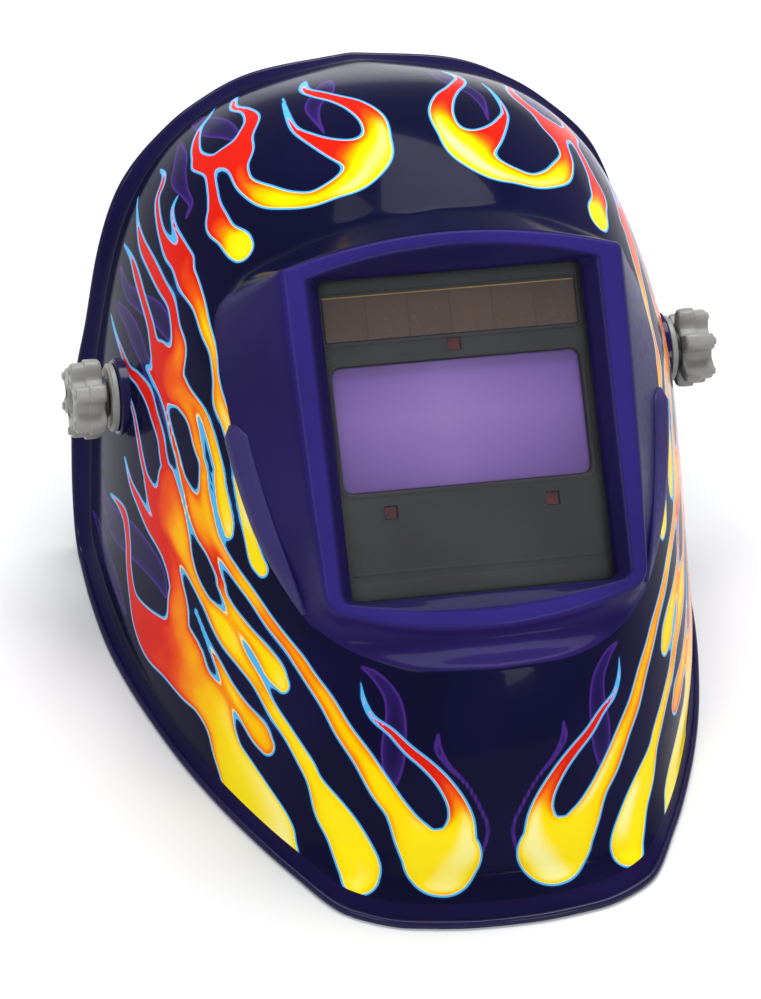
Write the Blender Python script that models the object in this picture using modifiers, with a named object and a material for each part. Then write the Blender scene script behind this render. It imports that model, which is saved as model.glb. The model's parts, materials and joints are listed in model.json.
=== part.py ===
"""Welding helmet with an auto-darkening lens: shell, lens cartridge, pivots, headband and ratchet.

Three frames are used, all in millimetres until a mesh is made:
  helmet  origin on the pivot axis, X to the wearer's left, front at -Y, +Z up, as the shell is worn
  window  origin at the centre of the lens opening, Y into the helmet, Z up along the window, 10 degrees back
  head    the helmet frame turned 18 degrees, because at rest the visor is 18 degrees up from its stop
The helmet rests on the flat lower edge of its shell, which lies on Z = 0.
"""

import math

import bmesh
import bpy
import numpy as np
from mathutils import Matrix, Vector

MM = 0.001
# ---------------------------------------------------------------- driving dimensions, mm and degrees
WALL = 2.8
LEAN = math.radians(10.0)
WIN_Y, WIN_Z = -121.9, -16.0
STATIONS = [-222, -205, -190, -175, -160, -145, -130, -115, -100, -70, -30, 5, 30, 57, 80, 100, 115, 123, 126.5]
HALF_W = [104, 104, 106, 103, 105, 109, 113, 115.5, 117, 117, 116, 113.8, 110, 104, 95, 79, 56, 33, 3]
FRONT_Y = [-110, -114, -121, -128, -135, -141, -145, -147.5, -149, -152, -152, -143, -127, -106, -87, -66, -42, -18, 28]
SQUARE = [4.0, 3.8, 3.3, 2.75, 2.5, 2.33, 2.22, 2.14, 2.08, 2.02, 2.05, 2.13, 2.15, 2.1, 2.05, 2.05, 2.1, 2.1, 2.1]
BACK_Y = 35.0
CENTRE = np.array([0.0, 30.0, -30.0])
RIM_SLOPE = math.radians(35.9)
RIM_Y0, RIM_Z0 = 54.8, -73.3
OPEN_W, OPEN_H = 105.0, 125.0
LENS_W, LENS_H = 111.0, 130.0
FILTER_W, FILTER_H, FILTER_Z = 99.0, 49.0, 4.6
PIVOT_HOLE = 4.6
BOSS_IN, BOSS_OUT, BOSS_R = 107.0, 114.2, 15.5
KNOB_R, KNOB_IN, KNOB_OUT = 16.7, 124.6, 133.3
REST_TILT = math.radians(18.0)
RATCHET_Z = -22.0
TOOTH_PITCH, TEETH = 4.0, 8
PITCH_R = TOOTH_PITCH * TEETH / (2 * math.pi)
SEGMENTS = 28

for old in list(bpy.data.objects):
    bpy.data.objects.remove(old, do_unlink=True)

helmet = bpy.data.collections.new("welding_helmet")
cutters = bpy.data.collections.new("cutters")
bpy.context.scene.collection.children.link(helmet)
bpy.context.scene.collection.children.link(cutters)
cutters.hide_render = True


# ---------------------------------------------------------------- frames
def frame(name, parent, matrix):
    e = bpy.data.objects.new(name, None)
    helmet.objects.link(e)
    e.parent = parent
    e.matrix_local = matrix
    e.empty_display_size = 0.03
    return e


RIM_DROP = RIM_Y0 * math.sin(RIM_SLOPE) - RIM_Z0 * math.cos(RIM_SLOPE)
REST = frame("helmet_at_rest", None, Matrix.Translation((0, 0, RIM_DROP * MM)) @ Matrix.Rotation(-RIM_SLOPE, 4, "X"))
WINDOW = frame("window_frame", REST, Matrix.Translation((0, WIN_Y * MM, WIN_Z * MM)) @ Matrix.Rotation(-LEAN, 4, "X"))
HEAD = frame("head_frame", REST, Matrix.Rotation(REST_TILT, 4, "X"))


# ---------------------------------------------------------------- materials
def material(name, colour, rough, metal=0.0, clear=0.0):
    m = bpy.data.materials.new(name)
    m.use_nodes = True
    b = m.node_tree.nodes["Principled BSDF"]
    b.inputs["Base Color"].default_value = (*[(c / 255) ** 2.2 for c in colour], 1)
    b.inputs["Roughness"].default_value = rough
    b.inputs["Metallic"].default_value = metal
    b.inputs["Transmission Weight"].default_value = clear
    m.diffuse_color = (*[(c / 255) ** 2.2 for c in colour], 1)
    return m


# ---------------------------------------------------------------- building blocks
def place(obj, parent, at=(0, 0, 0), turn=None, group=None):
    (group or helmet).objects.link(obj)
    obj.parent = parent
    obj.matrix_local = Matrix.Translation(Vector(at) * MM) @ (turn or Matrix.Identity(4))
    return obj


def from_bmesh(name, bm):
    mesh = bpy.data.meshes.new(name)
    bm.normal_update()
    bm.to_mesh(mesh)
    bm.free()
    mesh.shade_smooth()
    mesh.set_sharp_from_angle(angle=math.radians(35))
    return bpy.data.objects.new(name, mesh)


def finish(obj, mat):
    obj.data.materials.clear()
    obj.data.materials.append(mat)
    return obj


def block(name, size, parent, at=(0, 0, 0), turn=None, round_by=0.0, group=None):
    bm = bmesh.new()
    bmesh.ops.create_cube(bm, size=1.0, matrix=Matrix.Diagonal((size[0] * MM, size[1] * MM, size[2] * MM, 1)))
    obj = place(from_bmesh(name, bm), parent, at, turn, group)
    if round_by:
        bevel = obj.modifiers.new("Bevel", "BEVEL")
        bevel.width = round_by * MM
        bevel.segments = 1
    return obj


def rod(name, radius, length, parent, at=(0, 0, 0), turn=None, radius2=None, segments=SEGMENTS, group=None):
    """A cylinder or cone along local Z, from 0 to length."""
    bm = bmesh.new()
    bmesh.ops.create_cone(bm, cap_ends=True, segments=segments, radius1=radius * MM, radius2=(radius if radius2 is None else radius2) * MM,
                          depth=length * MM, matrix=Matrix.Translation((0, 0, length * MM / 2)))
    return place(from_bmesh(name, bm), parent, at, turn, group)


def plate(name, outlines, thickness, parent, at=(0, 0, 0), turn=None, group=None):
    """A flat outline, with holes where more outlines are given, from Z = 0 to thickness."""
    curve = bpy.data.curves.new(name, "CURVE")
    curve.dimensions = "2D"
    curve.fill_mode = "BOTH"
    curve.extrude = thickness * MM / 2
    for points in outlines:
        spline = curve.splines.new("POLY")
        spline.points.add(len(points) - 1)
        for p, (x, y) in zip(spline.points, points):
            p.co = (x * MM, y * MM, 0, 1)
        spline.use_cyclic_u = True
    flat = bpy.data.objects.new(name + "_outline", curve)
    cutters.objects.link(flat)
    bpy.context.view_layer.update()
    mesh = bpy.data.meshes.new_from_object(flat.evaluated_get(bpy.context.evaluated_depsgraph_get()))
    bpy.data.objects.remove(flat, do_unlink=True)
    bm = bmesh.new()
    bm.from_mesh(mesh)
    bmesh.ops.remove_doubles(bm, verts=bm.verts, dist=1e-6)
    bmesh.ops.translate(bm, verts=bm.verts, vec=(0, 0, thickness * MM / 2))
    bmesh.ops.recalc_face_normals(bm, faces=bm.faces)
    bpy.data.meshes.remove(mesh)
    return place(from_bmesh(name, bm), parent, at, turn, group)


def turned(name, profile, parent, at=(0, 0, 0), turn=None, steps=SEGMENTS, group=None):
    """A turned shape about local Z: the profile is (radius, height) pairs, running down the outer side."""
    mesh = bpy.data.meshes.new(name)
    mesh.from_pydata([(r * MM, 0, z * MM) for r, z in profile], [(i, i + 1) for i in range(len(profile) - 1)], [])
    obj = place(bpy.data.objects.new(name, mesh), parent, at, turn, group)
    screw = obj.modifiers.new("Screw", "SCREW")
    screw.steps = screw.render_steps = steps
    screw.use_merge_vertices = True
    screw.merge_threshold = 1e-5
    screw.use_smooth_shade = True
    return obj


def skin_strip(name, rows, parent, thickness, offset=0.0, closed=False, round_by=0.0, group=None):
    """An open surface through rows of points, given a thickness."""
    bm = bmesh.new()
    grid = [[bm.verts.new(Vector(p) * MM) for p in row] for row in rows]
    for a, b in zip(grid, grid[1:]):
        n = len(a)
        for i in range(n if closed else n - 1):
            j = (i + 1) % n
            bm.faces.new((a[i], a[j], b[j], b[i]))
    obj = place(from_bmesh(name, bm), parent, group=group)
    if thickness:
        solid = obj.modifiers.new("Solidify", "SOLIDIFY")
        solid.thickness = thickness * MM
        solid.offset = offset
        solid.use_even_offset = True
    if round_by:
        bevel = obj.modifiers.new("Bevel", "BEVEL")
        bevel.width = round_by * MM
        bevel.segments = 1
        bevel.limit_method = "ANGLE"
        bevel.angle_limit = math.radians(60)
    return obj


def combine(obj, other, operation):
    other.hide_render = True
    other.display_type = "WIRE"
    m = obj.modifiers.new(other.name, "BOOLEAN")
    m.operation = operation
    m.solver = "EXACT"
    m.object = other
    return obj


def cut(obj, other):
    return combine(obj, other, "DIFFERENCE")


def add(obj, other):
    return combine(obj, other, "UNION")


def circle(radius, count=SEGMENTS, centre=(0, 0)):
    return [(centre[0] + radius * math.cos(2 * math.pi * i / count), centre[1] + radius * math.sin(2 * math.pi * i / count)) for i in range(count)]


def round_rect(half_w, half_h, radius, steps=3, centre=(0, 0)):
    pts = []
    for cx, cy, start in ((1, 1, 0), (-1, 1, 90), (-1, -1, 180), (1, -1, 270)):
        for k in range(steps + 1):
            q = math.radians(start + 90 * k / steps)
            pts.append((centre[0] + cx * (half_w - radius) + radius * math.cos(q), centre[1] + cy * (half_h - radius) + radius * math.sin(q)))
    return pts


# TO_LEFT and TO_RIGHT turn local Z to the wearer's left and right, and BACKWARD turns it into the helmet, along +Y
TO_LEFT = Matrix.Rotation(math.radians(90), 4, "Y")
TO_RIGHT = Matrix.Rotation(math.radians(-90), 4, "Y")
BACKWARD = Matrix.Rotation(math.radians(-90), 4, "X")


# ---------------------------------------------------------------- the shell's skin
def smooth(stations, values, q):
    """A curve through the stations that doesn't overshoot them."""
    z = np.asarray(stations, float)
    v = np.asarray(values, float)
    h = np.diff(z)
    d = np.diff(v) / h
    m = np.zeros(len(z))
    for i in range(1, len(z) - 1):
        if d[i - 1] * d[i] > 0:
            w1, w2 = 2 * h[i] + h[i - 1], h[i] + 2 * h[i - 1]
            m[i] = (w1 + w2) / (w1 / d[i - 1] + w2 / d[i])
    m[0], m[-1] = d[0], d[-1]
    q = np.clip(np.asarray(q, float), z[0], z[-1])
    i = np.clip(np.searchsorted(z, q, side="right") - 1, 0, len(h) - 1)
    t = (q - z[i]) / h[i]
    t2, t3 = t * t, t * t * t
    return (2 * t3 - 3 * t2 + 1) * v[i] + (t3 - 2 * t2 + t) * h[i] * m[i] + (3 * t2 - 2 * t3) * v[i + 1] + (t3 - t2) * h[i] * m[i + 1]


def skin(p):
    """Below 0 inside the shell's outer skin, above 0 outside it."""
    x, y, z = p[..., 0], p[..., 1], p[..., 2]
    a = smooth(STATIONS, HALF_W, z)
    b = BACK_Y - smooth(STATIONS, FRONT_Y, z)
    n = smooth(STATIONS, SQUARE, z)
    f = (np.abs(x) / a) ** n + (np.maximum(0, BACK_Y - y) / b) ** n - 1
    return f + np.maximum(0, z - STATIONS[-1]) * 10


def onto_skin(origin, direction, far=400.0):
    near = np.zeros(direction.shape[:-1])
    far = np.full(direction.shape[:-1], far)
    for _ in range(34):
        mid = (near + far) / 2
        inside = skin(origin + direction * mid[..., None]) < 0
        near = np.where(inside, mid, near)
        far = np.where(inside, far, mid)
    return origin + direction * ((near + far) / 2)[..., None]


def from_window(p):
    c, s = math.cos(LEAN), math.sin(LEAN)
    p = np.asarray(p, float)
    return np.stack([p[..., 0], p[..., 1] * c + p[..., 2] * s + WIN_Y, -p[..., 1] * s + p[..., 2] * c + WIN_Z], -1)


def rim_z(y):
    return RIM_Z0 + (y - RIM_Y0) * math.tan(RIM_SLOPE)


def run(points, count):
    """count + 1 points spaced evenly along a smooth line through the given ones."""
    pts = np.asarray(points, float)
    if len(pts) == 2:
        t = np.linspace(0, 1, count + 1)[:, None]
        return pts[0] * (1 - t) + pts[1] * t
    ext = np.vstack([2 * pts[0] - pts[1], pts, 2 * pts[-1] - pts[-2]])
    fine = []
    for i in range(1, len(ext) - 2):
        p0, p1, p2, p3 = ext[i - 1], ext[i], ext[i + 1], ext[i + 2]
        for t in np.linspace(0, 1, 24, endpoint=False):
            fine.append(0.5 * (2 * p1 + (p2 - p0) * t + (2 * p0 - 5 * p1 + 4 * p2 - p3) * t * t + (3 * p1 - p0 - 3 * p2 + p3) * t ** 3))
    fine.append(pts[-1])
    fine = np.array(fine)
    s = np.concatenate([[0], np.cumsum(np.linalg.norm(np.diff(fine, axis=0), axis=1))])
    q = np.linspace(0, s[-1], count + 1)
    return np.stack([np.interp(q, s, fine[:, k]) for k in range(fine.shape[1])], -1)


def half_loop(parts, steps):
    runs = [run(p, n) for p, n in zip(parts, steps)]
    return np.vstack([r if i == 0 else r[1:] for i, r in enumerate(runs)])


# steps along each half outline: top, top corner, side to the ear, side to the chin's corner, chin corner, chin
STEPS = (7, 3, 5, 8, 4, 5)
EAR = STEPS[0] + STEPS[1] + STEPS[2]


def frame_outline(w_top, w_bot, z_top, top_arc, z_bot, bot_arc, r_top, r_bot, y):
    """Half of one outline of the window frame: arched top and bottom, straight sides and rounded corners."""
    top = lambda x: z_top + top_arc * (1 - (x / w_top) ** 2)
    bot = lambda x: z_bot - bot_arc * (1 - (x / w_bot) ** 2)
    xt, xb = w_top - r_top, w_bot - r_bot
    zt, zb = top(xt), bot(xb)
    zc = z_top - r_top + (zt - z_top) * 0.35
    zd = z_bot + r_bot + (zb - z_bot) * 0.35
    a = [(x, top(x)) for x in np.linspace(0, xt, 9)]
    k = [(xt + r_top * math.sin(q), zc + (zt - zc) * math.cos(q)) for q in np.linspace(0, math.pi / 2, 7)]
    m = [(xb + r_bot * math.cos(q), zd + (zb - zd) * math.sin(q)) for q in np.linspace(0, math.pi / 2, 7)]
    ear = STEPS[2] / (STEPS[2] + STEPS[3])
    e = (k[-1][0] * (1 - ear) + m[0][0] * ear, k[-1][1] * (1 - ear) + m[0][1] * ear)
    b = [(x, bot(x)) for x in np.linspace(xb, 0, 9)]
    pts = half_loop([a, k, [k[-1], e], [e, m[0]], m, b], STEPS)
    return from_window(np.stack([pts[:, 0], np.full(len(pts), y), pts[:, 1]], -1))


def shell_outlines(spread=6, past_rim=5.0):
    rows = [
        frame_outline(OPEN_W / 2, OPEN_W / 2, OPEN_H / 2, 0, -OPEN_H / 2, 0, 3.0, 3.0, 0.0),
        frame_outline(58.2, 57.6, 62.8, 9.4, -62.3, 7.2, 1.5, 4.0, -5.0),
        frame_outline(67.8, 64.6, 67.3, 9.4, -64.5, 12.3, 1.5, 9.0, -5.0),
    ]
    top = [(0, 88), (35, 84.5), (69.5, 73)]
    corner = [(69.5, 73), (79, 65.5), (85.5, 56)]
    side = run([(85.5, 56), (87, 35), (85, 3), (79, -30), (69.5, -61.6)], STEPS[2] + STEPS[3])
    low = [(69.5, -61.6), (63, -71), (54, -79.5)]
    bottom = [(54, -79.5), (40, -87), (25, -91), (0, -92.5)]
    pts = np.vstack([run(top, STEPS[0]), run(corner, STEPS[1])[1:], side[1:], run(low, STEPS[4])[1:], run(bottom, STEPS[5])[1:]])
    inward = np.array([0, -math.cos(LEAN), math.sin(LEAN)])
    start = from_window(np.stack([pts[:, 0], np.full(len(pts), 110.0), pts[:, 1]], -1))
    crease = onto_skin(start, np.broadcast_to(inward, start.shape), 200)
    arch = [(0, 33, 129), (41, 32, 124), (66, 31, 113.5), (82, 31, 102)]
    shoulder = [(82, 31, 102), (95, 31, 89), (103, 34, 75)]
    cheek = [(103, 34, 75), (109.5, 38, 55), (115, 44, 28), (118.5, 49, 12), (121, 54, -5), (122, 60, -30), (122, 65, -55), (121.5, 66.5, rim_z(66.5))]
    jaw = [(121.5, 66.5), (122.5, 50), (122.7, 35), (121.5, 14.5), (117.6, -6), (112, -26), (105, -46), (96, -66), (85, -86), (76, -100)]
    turn = [(76, -100), (66, -114.5), (58, -121), (44, -126.8)]
    chin = [(44, -126.8), (30, -129.3), (15, -130.9), (0, -131.3)]
    on_plane = lambda q: [(x, y, rim_z(y)) for x, y in q]
    rim = half_loop([arch, shoulder, cheek, on_plane(jaw), on_plane(turn), on_plane(chin)], STEPS)
    rim[EAR:, 2] = rim_z(rim[EAR:, 1])
    low_n = np.array([0, -math.sin(RIM_SLOPE), math.cos(RIM_SLOPE)])
    side_n = np.array([0, -math.cos(math.radians(12)), -math.sin(math.radians(12))])
    n = len(rim)
    way = np.zeros((n, 3))
    reach = np.full(n, 8.0)
    for i in range(n):
        if i <= STEPS[0] + STEPS[1] // 2:
            way[i] = (0, -1, 0)
        elif i < EAR:
            way[i] = side_n
        elif i == EAR:
            way[i] = side_n * 0.75 + low_n * 0.75
        else:
            way[i] = low_n
            reach[i] = 7.0 if i < n - STEPS[5] - STEPS[4] // 2 else 6.0
    d = rim + way * reach[:, None] - CENTRE
    d /= np.linalg.norm(d, axis=1, keepdims=True)
    flare = onto_skin(CENTRE, d)
    d0 = crease - CENTRE
    d0 /= np.linalg.norm(d0, axis=1, keepdims=True)
    w = np.arccos(np.clip((d0 * d).sum(1), -1, 1))[:, None]
    rows.append(crease)
    for k in range(1, spread + 1):
        t = k / (spread + 1)
        rows.append(onto_skin(CENTRE, (np.sin((1 - t) * w) * d0 + np.sin(t * w) * d) / np.sin(w)))
    rows.append(flare)
    rows.append(rim)
    # the flange runs straight on past the lower edge, where a flat cut trims it
    past = rim.copy()
    for i in range(EAR, n):
        down = rim[i] - flare[i]
        past[i] = rim[i] + down * past_rim / max(-(down @ low_n), 1e-6)
    rows.append(past)
    for r in rows:
        r[0, 0] = r[-1, 0] = 0.0
    return rows


def shell():
    rows = shell_outlines()
    past = rows.pop()
    # rows run from the opening outwards; the flange's last row only differs below the ear
    rim = rows.pop()
    edge = rim.copy()
    edge[EAR:] = past[EAR:]
    rows.append(edge)
    obj = skin_strip("visor_shell", [r.tolist() for r in rows], REST, 0)
    mirror = obj.modifiers.new("Mirror", "MIRROR")
    mirror.use_axis[0] = True
    mirror.merge_threshold = 1e-5
    mirror.use_clip = True
    solid = obj.modifiers.new("Solidify", "SOLIDIFY")
    solid.thickness = WALL * MM
    solid.offset = -1.0
    solid.use_even_offset = True
    return obj


def loft(name, rows, parent, group=None):
    """A closed solid through closed outlines, capped at both ends."""
    bm = bmesh.new()
    grid = [[bm.verts.new(Vector(p) * MM) for p in row] for row in rows]
    n = len(grid[0])
    for a, b in zip(grid, grid[1:]):
        for i in range(n):
            bm.faces.new((a[i], a[(i + 1) % n], b[(i + 1) % n], b[i]))
    bm.faces.new(list(reversed(grid[0])))
    bm.faces.new(grid[-1])
    bmesh.ops.recalc_face_normals(bm, faces=bm.faces)
    return place(from_bmesh(name, bm), parent, group=group)


def fin(name, side):
    """The raised rib along the lower half of the window box's side crease."""
    zs = [13, 8, -4, -16, -28, -40, -50, -58, -64]
    size = [0.3, 1.0, 1.0, 1.0, 1.0, 0.9, 0.7, 0.45, 0.15]
    line = run([(85.5, 56), (87, 35), (85, 3), (79, -30), (69.5, -61.6), (68, -66)], 60)[::-1]
    rows = []
    for z, k in zip(zs, size):
        x = float(np.interp(z, line[:, 1], line[:, 0]))
        start = from_window([[x, 110.0, z]])
        hit = onto_skin(start, np.array([[0, -math.cos(LEAN), math.sin(LEAN)]]), 200)[0]
        y = 110.0 - float(np.linalg.norm(hit - start[0]))
        crest = np.array([x, y])
        facet = crest - np.array([66.2, -5.0])
        facet = facet / np.linalg.norm(facet)
        out = np.array([facet[1], -facet[0]])
        back = np.array([0.46, 0.89])
        off = np.array([0.89, -0.46])
        flat = [crest - facet * 7.0 * k - out * 0.9, crest - facet * 7.0 * k + out * 0.4, crest - facet * 2.5 * k + out * 2.6 * k,
                crest + out * 3.4 * k, crest + back * 3.5 * k + off * 2.6 * k, crest + back * 6.0 * k - off * 0.9, crest - (out + off) * 0.6]
        rows.append(from_window([(side * p[0], p[1], z) for p in flat]).tolist())
    return loft(name, rows, REST, group=cutters)


# ---------------------------------------------------------------- shell
PURPLE = material("satin_purple_plastic", (58, 46, 120), 0.35)
visor_shell = shell()
seat = plate("lens_seat", [round_rect(58, 67.5, 6), round_rect(OPEN_W / 2, OPEN_H / 2, 3)], 2.7, WINDOW, (0, 3.0, 0), Matrix.Rotation(math.radians(90), 4, "X"), cutters)
add(visor_shell, seat)
for side, word in ((1, "left"), (-1, "right")):
    turn = TO_LEFT if side > 0 else TO_RIGHT
    add(visor_shell, block("rail_" + word, (3.2, 28.0, 56.0), WINDOW, (side * 59.0, 10.5, 0), group=cutters))
    add(visor_shell, rod("boss_" + word, BOSS_R, BOSS_OUT - BOSS_IN, REST, (side * BOSS_IN, 0, 0), turn, group=cutters))
    add(visor_shell, rod("stop_peg_" + word, 2.5, 7.5, REST, (side * 103.3, -19 * math.cos(math.radians(51)), -19 * math.sin(math.radians(51))), turn, segments=16, group=cutters))
    add(visor_shell, fin("fin_" + word, side))
    cut(visor_shell, rod("pivot_hole_" + word, PIVOT_HOLE, 25, REST, (side * 100, 0, 0), turn, group=cutters))
    cut(visor_shell, block("latch_slot_" + word, (6, 2.8, 16), WINDOW, (side * 59.0, 21.3, 0), group=cutters))
cut(visor_shell, block("floor_trim", (400, 600, 40), None, (0, 0, -20), group=cutters))
finish(visor_shell, PURPLE)

# ---------------------------------------------------------------- lens cartridge, front to back
UP = Matrix.Rotation(math.radians(90), 4, "X")
BLACK = material("black_cartridge_plastic", (26, 26, 28), 0.45)
finish(plate("lens_gasket", [round_rect(56.5, 66, 4.5), round_rect(53.3, 63.3, 3)], 1.1, WINDOW, (0, 4.4, 0), UP), material("black_gasket_rubber", (16, 16, 17), 0.8))
finish(plate("outer_cover_lens", [round_rect(LENS_W / 2, LENS_H / 2, 4)], 1.0, WINDOW, (0, 5.7, 0), UP), material("clear_cover", (240, 242, 245), 0.03, 0, 1.0))

HOUSE_FRONT, HOUSE_BACK = 6.0, 17.3
housing = plate("cartridge_housing", [round_rect(LENS_W / 2, LENS_H / 2, 4), round_rect(FILTER_W / 2 + 0.4, FILTER_H / 2 + 0.4, 4, centre=(0, FILTER_Z))],
                HOUSE_BACK - HOUSE_FRONT, WINDOW, (0, HOUSE_BACK, 0), UP)
SENSORS = {"top": (0.0, 35.0), "left": (32.3, -28.5), "right": (-32.3, -28.5)}
cut(housing, block("solar_recess", (101.8, 3.0, 17.8), WINDOW, (0, HOUSE_FRONT - 0.1, 47.5), group=cutters))
for word, (x, z) in SENSORS.items():
    cut(housing, block("sensor_pocket_" + word, (5.8, 6.0, 5.8), WINDOW, (x, HOUSE_FRONT, z), group=cutters))
cut(housing, block("inner_lens_rebate", (106.0, 2.6, 56.0), WINDOW, (0, HOUSE_BACK, FILTER_Z), group=cutters))
POD_Z = -43.5
cut(housing, block("board_pocket", (51.0, 16.6, 34.0), WINDOW, (0, HOUSE_BACK, POD_Z), group=cutters))
for side, word in ((1, "left"), (-1, "right")):
    cut(housing, block("battery_slot_" + word, (30.0, 6.2, 27.0), WINDOW, (side * 42.3, 12.3, -45.5), group=cutters))
finish(housing, BLACK)

finish(plate("filter_glass", [round_rect(FILTER_W / 2, FILTER_H / 2, 3.6)], 6.4, WINDOW, (0, 15.0, FILTER_Z), UP), material("violet_filter_glass", (122, 92, 165), 0.06))
finish(block("solar_panel", (101.0, 1.0, 17.0), WINDOW, (0, HOUSE_FRONT + 0.75, 47.5)), material("brown_solar_cell", (84, 62, 48), 0.25))
SENSOR_MAT = material("dark_red_sensor_window", (70, 18, 20), 0.1)
for word, (x, z) in SENSORS.items():
    finish(block("arc_sensor_" + word, (5.0, 2.0, 5.0), WINDOW, (x, HOUSE_FRONT + 1.6, z), round_by=0.5), SENSOR_MAT)
finish(plate("inner_cover_lens", [round_rect(52.6, 27.6, 1.5)], 0.9, WINDOW, (0, HOUSE_BACK - 0.05, FILTER_Z), UP), material("clear_inner_cover", (240, 242, 245), 0.03, 0, 1.0))
finish(block("circuit_board", (50.0, 1.6, 33.0), WINDOW, (0, 11.8, POD_Z)), material("green_circuit_board", (22, 84, 52), 0.5))

cover = plate("control_cover", [round_rect(27, 17.8, 2), circle(2.5, 16, (-17, -4.5)), circle(2.5, 16, (0, -4.5)), circle(2.5, 16, (17, -4.5)), circle(2.8, 16, (0, 10.5))],
              2.0, WINDOW, (0, HOUSE_BACK + 2.3, POD_Z), UP)
finish(cover, material("black_cover_plastic", (32, 32, 34), 0.55))

DIAL = [(0, 12.4), (6.2, 12.4), (7.0, 11.6), (7.0, 6.9), (2.1, 6.9), (2.1, 0), (0, 0)]
DIAL_MAT = material("grey_dial_plastic", (120, 120, 124), 0.4)
for word, x in (("shade", 17), ("sensitivity", 0), ("delay", -17)):
    dial = turned(word + "_dial", DIAL, WINDOW, (x, 13.0, POD_Z - 4.5), BACKWARD, 24)
    # a flat each side of the grip, so that fingers can turn it
    for k in (-1, 1):
        cut(dial, block("%s_dial_flat_%d" % (word, k + 1), (4, 4.2, 16), WINDOW, (x + k * 6.6, 23.9, POD_Z - 4.5), group=cutters))
    finish(dial, DIAL_MAT)
finish(turned("test_button", [(0, 5.7), (2.0, 5.7), (2.4, 5.3), (2.4, 1.2), (3.6, 1.2), (3.6, 0), (0, 0)], WINDOW, (0, 15.6, POD_Z + 10.5), BACKWARD, 20), material("red_button_plastic", (170, 32, 28), 0.4))

TRAY_MAT = material("black_tray_plastic", (36, 36, 38), 0.5)
CELL_MAT = material("steel_coin_cell", (190, 192, 196), 0.25, 1.0)
for side, word in ((1, "left"), (-1, "right")):
    tray = block("battery_tray_" + word, (27.4, 5.6, 26.2), WINDOW, (side * 41.5, 12.3, -45.5))
    cut(tray, rod("cell_well_" + word, 12.5, 10, WINDOW, (side * 41.2, 9.9, -45.5), BACKWARD, group=cutters))
    cut(tray, block("tray_grip_" + word, (1.6, 2.0, 12), WINDOW, (side * 54.9, 9.7, -45.5), group=cutters))
    finish(tray, TRAY_MAT)
    finish(rod("battery_cell_" + word, 12.15, 4.6, WINDOW, (side * 41.2, 10.2, -45.5), BACKWARD), CELL_MAT)

retainer = plate("lens_retainer", [round_rect(56.9, 66.6, 4), round_rect(50.5, 62.2, 3)], 2.4, WINDOW, (0, 20.0, 0), UP)
finish(retainer, material("black_retainer_plastic", (30, 30, 32), 0.5))
LATCH_MAT = material("grey_latch_plastic", (110, 110, 114), 0.4)
for side, word in ((1, "left"), (-1, "right")):
    latch = block("retainer_latch_" + word, (8.8, 1.8, 15.0), WINDOW, (side * 55.0, 21.3, 0))
    add(latch, block("latch_tab_" + word, (1.6, 5.0, 11.0), WINDOW, (side * 52.0, 23.5, 0), group=cutters))
    finish(latch, LATCH_MAT)

# ---------------------------------------------------------------- headgear
BAND_MAT = material("black_headband_plastic", (34, 34, 36), 0.5)
BAND_PATH = [(0, -65), (22, -63), (45, -53), (63, -34), (74, -5), (77, 25), (75.5, 55), (69.5, 82), (60, 103), (52, 115), (44, 122), (36, 126), (30, 126.7), (25, 126.7)]


def band_z(y):
    return 38.0 - (y + 65.0) * 0.3125


def band_height(y):
    return 26.0 - (y + 65.0) * 0.052


def both_sides(half):
    return [(-x, y) for x, y in half[:0:-1]] + [tuple(p) for p in half]


def move_in(path, distance):
    p = np.array(path, float)
    t = np.gradient(p, axis=0)
    t /= np.linalg.norm(t, axis=1, keepdims=True)
    return p + np.stack([-t[:, 1], t[:, 0]], -1) * distance


half = run(BAND_PATH, 22)
path = both_sides(half.tolist())
rows = [[(x, y, band_z(y) + k * band_height(y) / 2) for x, y in path] for k in (-1, 1)]
headband = skin_strip("headband", rows, HEAD, 2.0)
finish(headband, BAND_MAT)

front = [p for p in move_in(path, 4.3) if p[1] < -18]
rows = [[(x, y, band_z(y) + k * 15.0) for x, y in front] for k in (-1, 1)]
finish(skin_strip("sweatband", rows, HEAD, 5.4, round_by=1.2), material("black_sweatband_cloth", (30, 30, 32), 0.95))
finish(block("nape_pad", (58.0, 5.4, 24.0), HEAD, (0, 122.4, RATCHET_Z), round_by=1.5), material("black_pad_cloth", (30, 30, 32), 0.95))

# crown straps
side_path = run([(74.9, 0), (74.9, 14), (73.2, 32), (67, 52), (54, 70), (34, 83.5), (16, 90.2), (0, 90.2), (-15, 90.2)], 16)
for side, word, drop in ((1, "left", 0.0), (-1, "right", 2.0)):
    pts = [(x, z - drop * min(1.0, max(0.0, (78 - x) / 62))) for x, z in side_path]
    rows = [[(side * x, y, z) for x, z in pts] for y in (20.0, 36.0)]
    strap = skin_strip("crown_strap_" + word, rows, HEAD, 1.6)
    cut(strap, rod("snap_hole_" + word, 2.8, 12, HEAD, (0, 28, 82), segments=16, group=cutters))
    finish(strap, BAND_MAT)
finish(turned("crown_snap", [(0, 6.6), (3.6, 6.6), (4.2, 6.0), (4.2, 5.0), (2.4, 5.0), (2.4, 0), (0, 0)], HEAD, (0, 28, 86.3), None, 20), BAND_MAT)
top_path = run([(-67.7, 28), (-67.7, 44), (-63, 64), (-45, 82.5), (-15, 93.2), (28, 95.6), (62, 88), (92, 70.5), (110.5, 43.5), (121.5, 13), (128.6, -9.5)], 24)
rows = [[(x, y, z) for y, z in top_path] for x in (-8.0, 8.0)]
finish(skin_strip("top_strap", rows, HEAD, 1.6), BAND_MAT)

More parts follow.
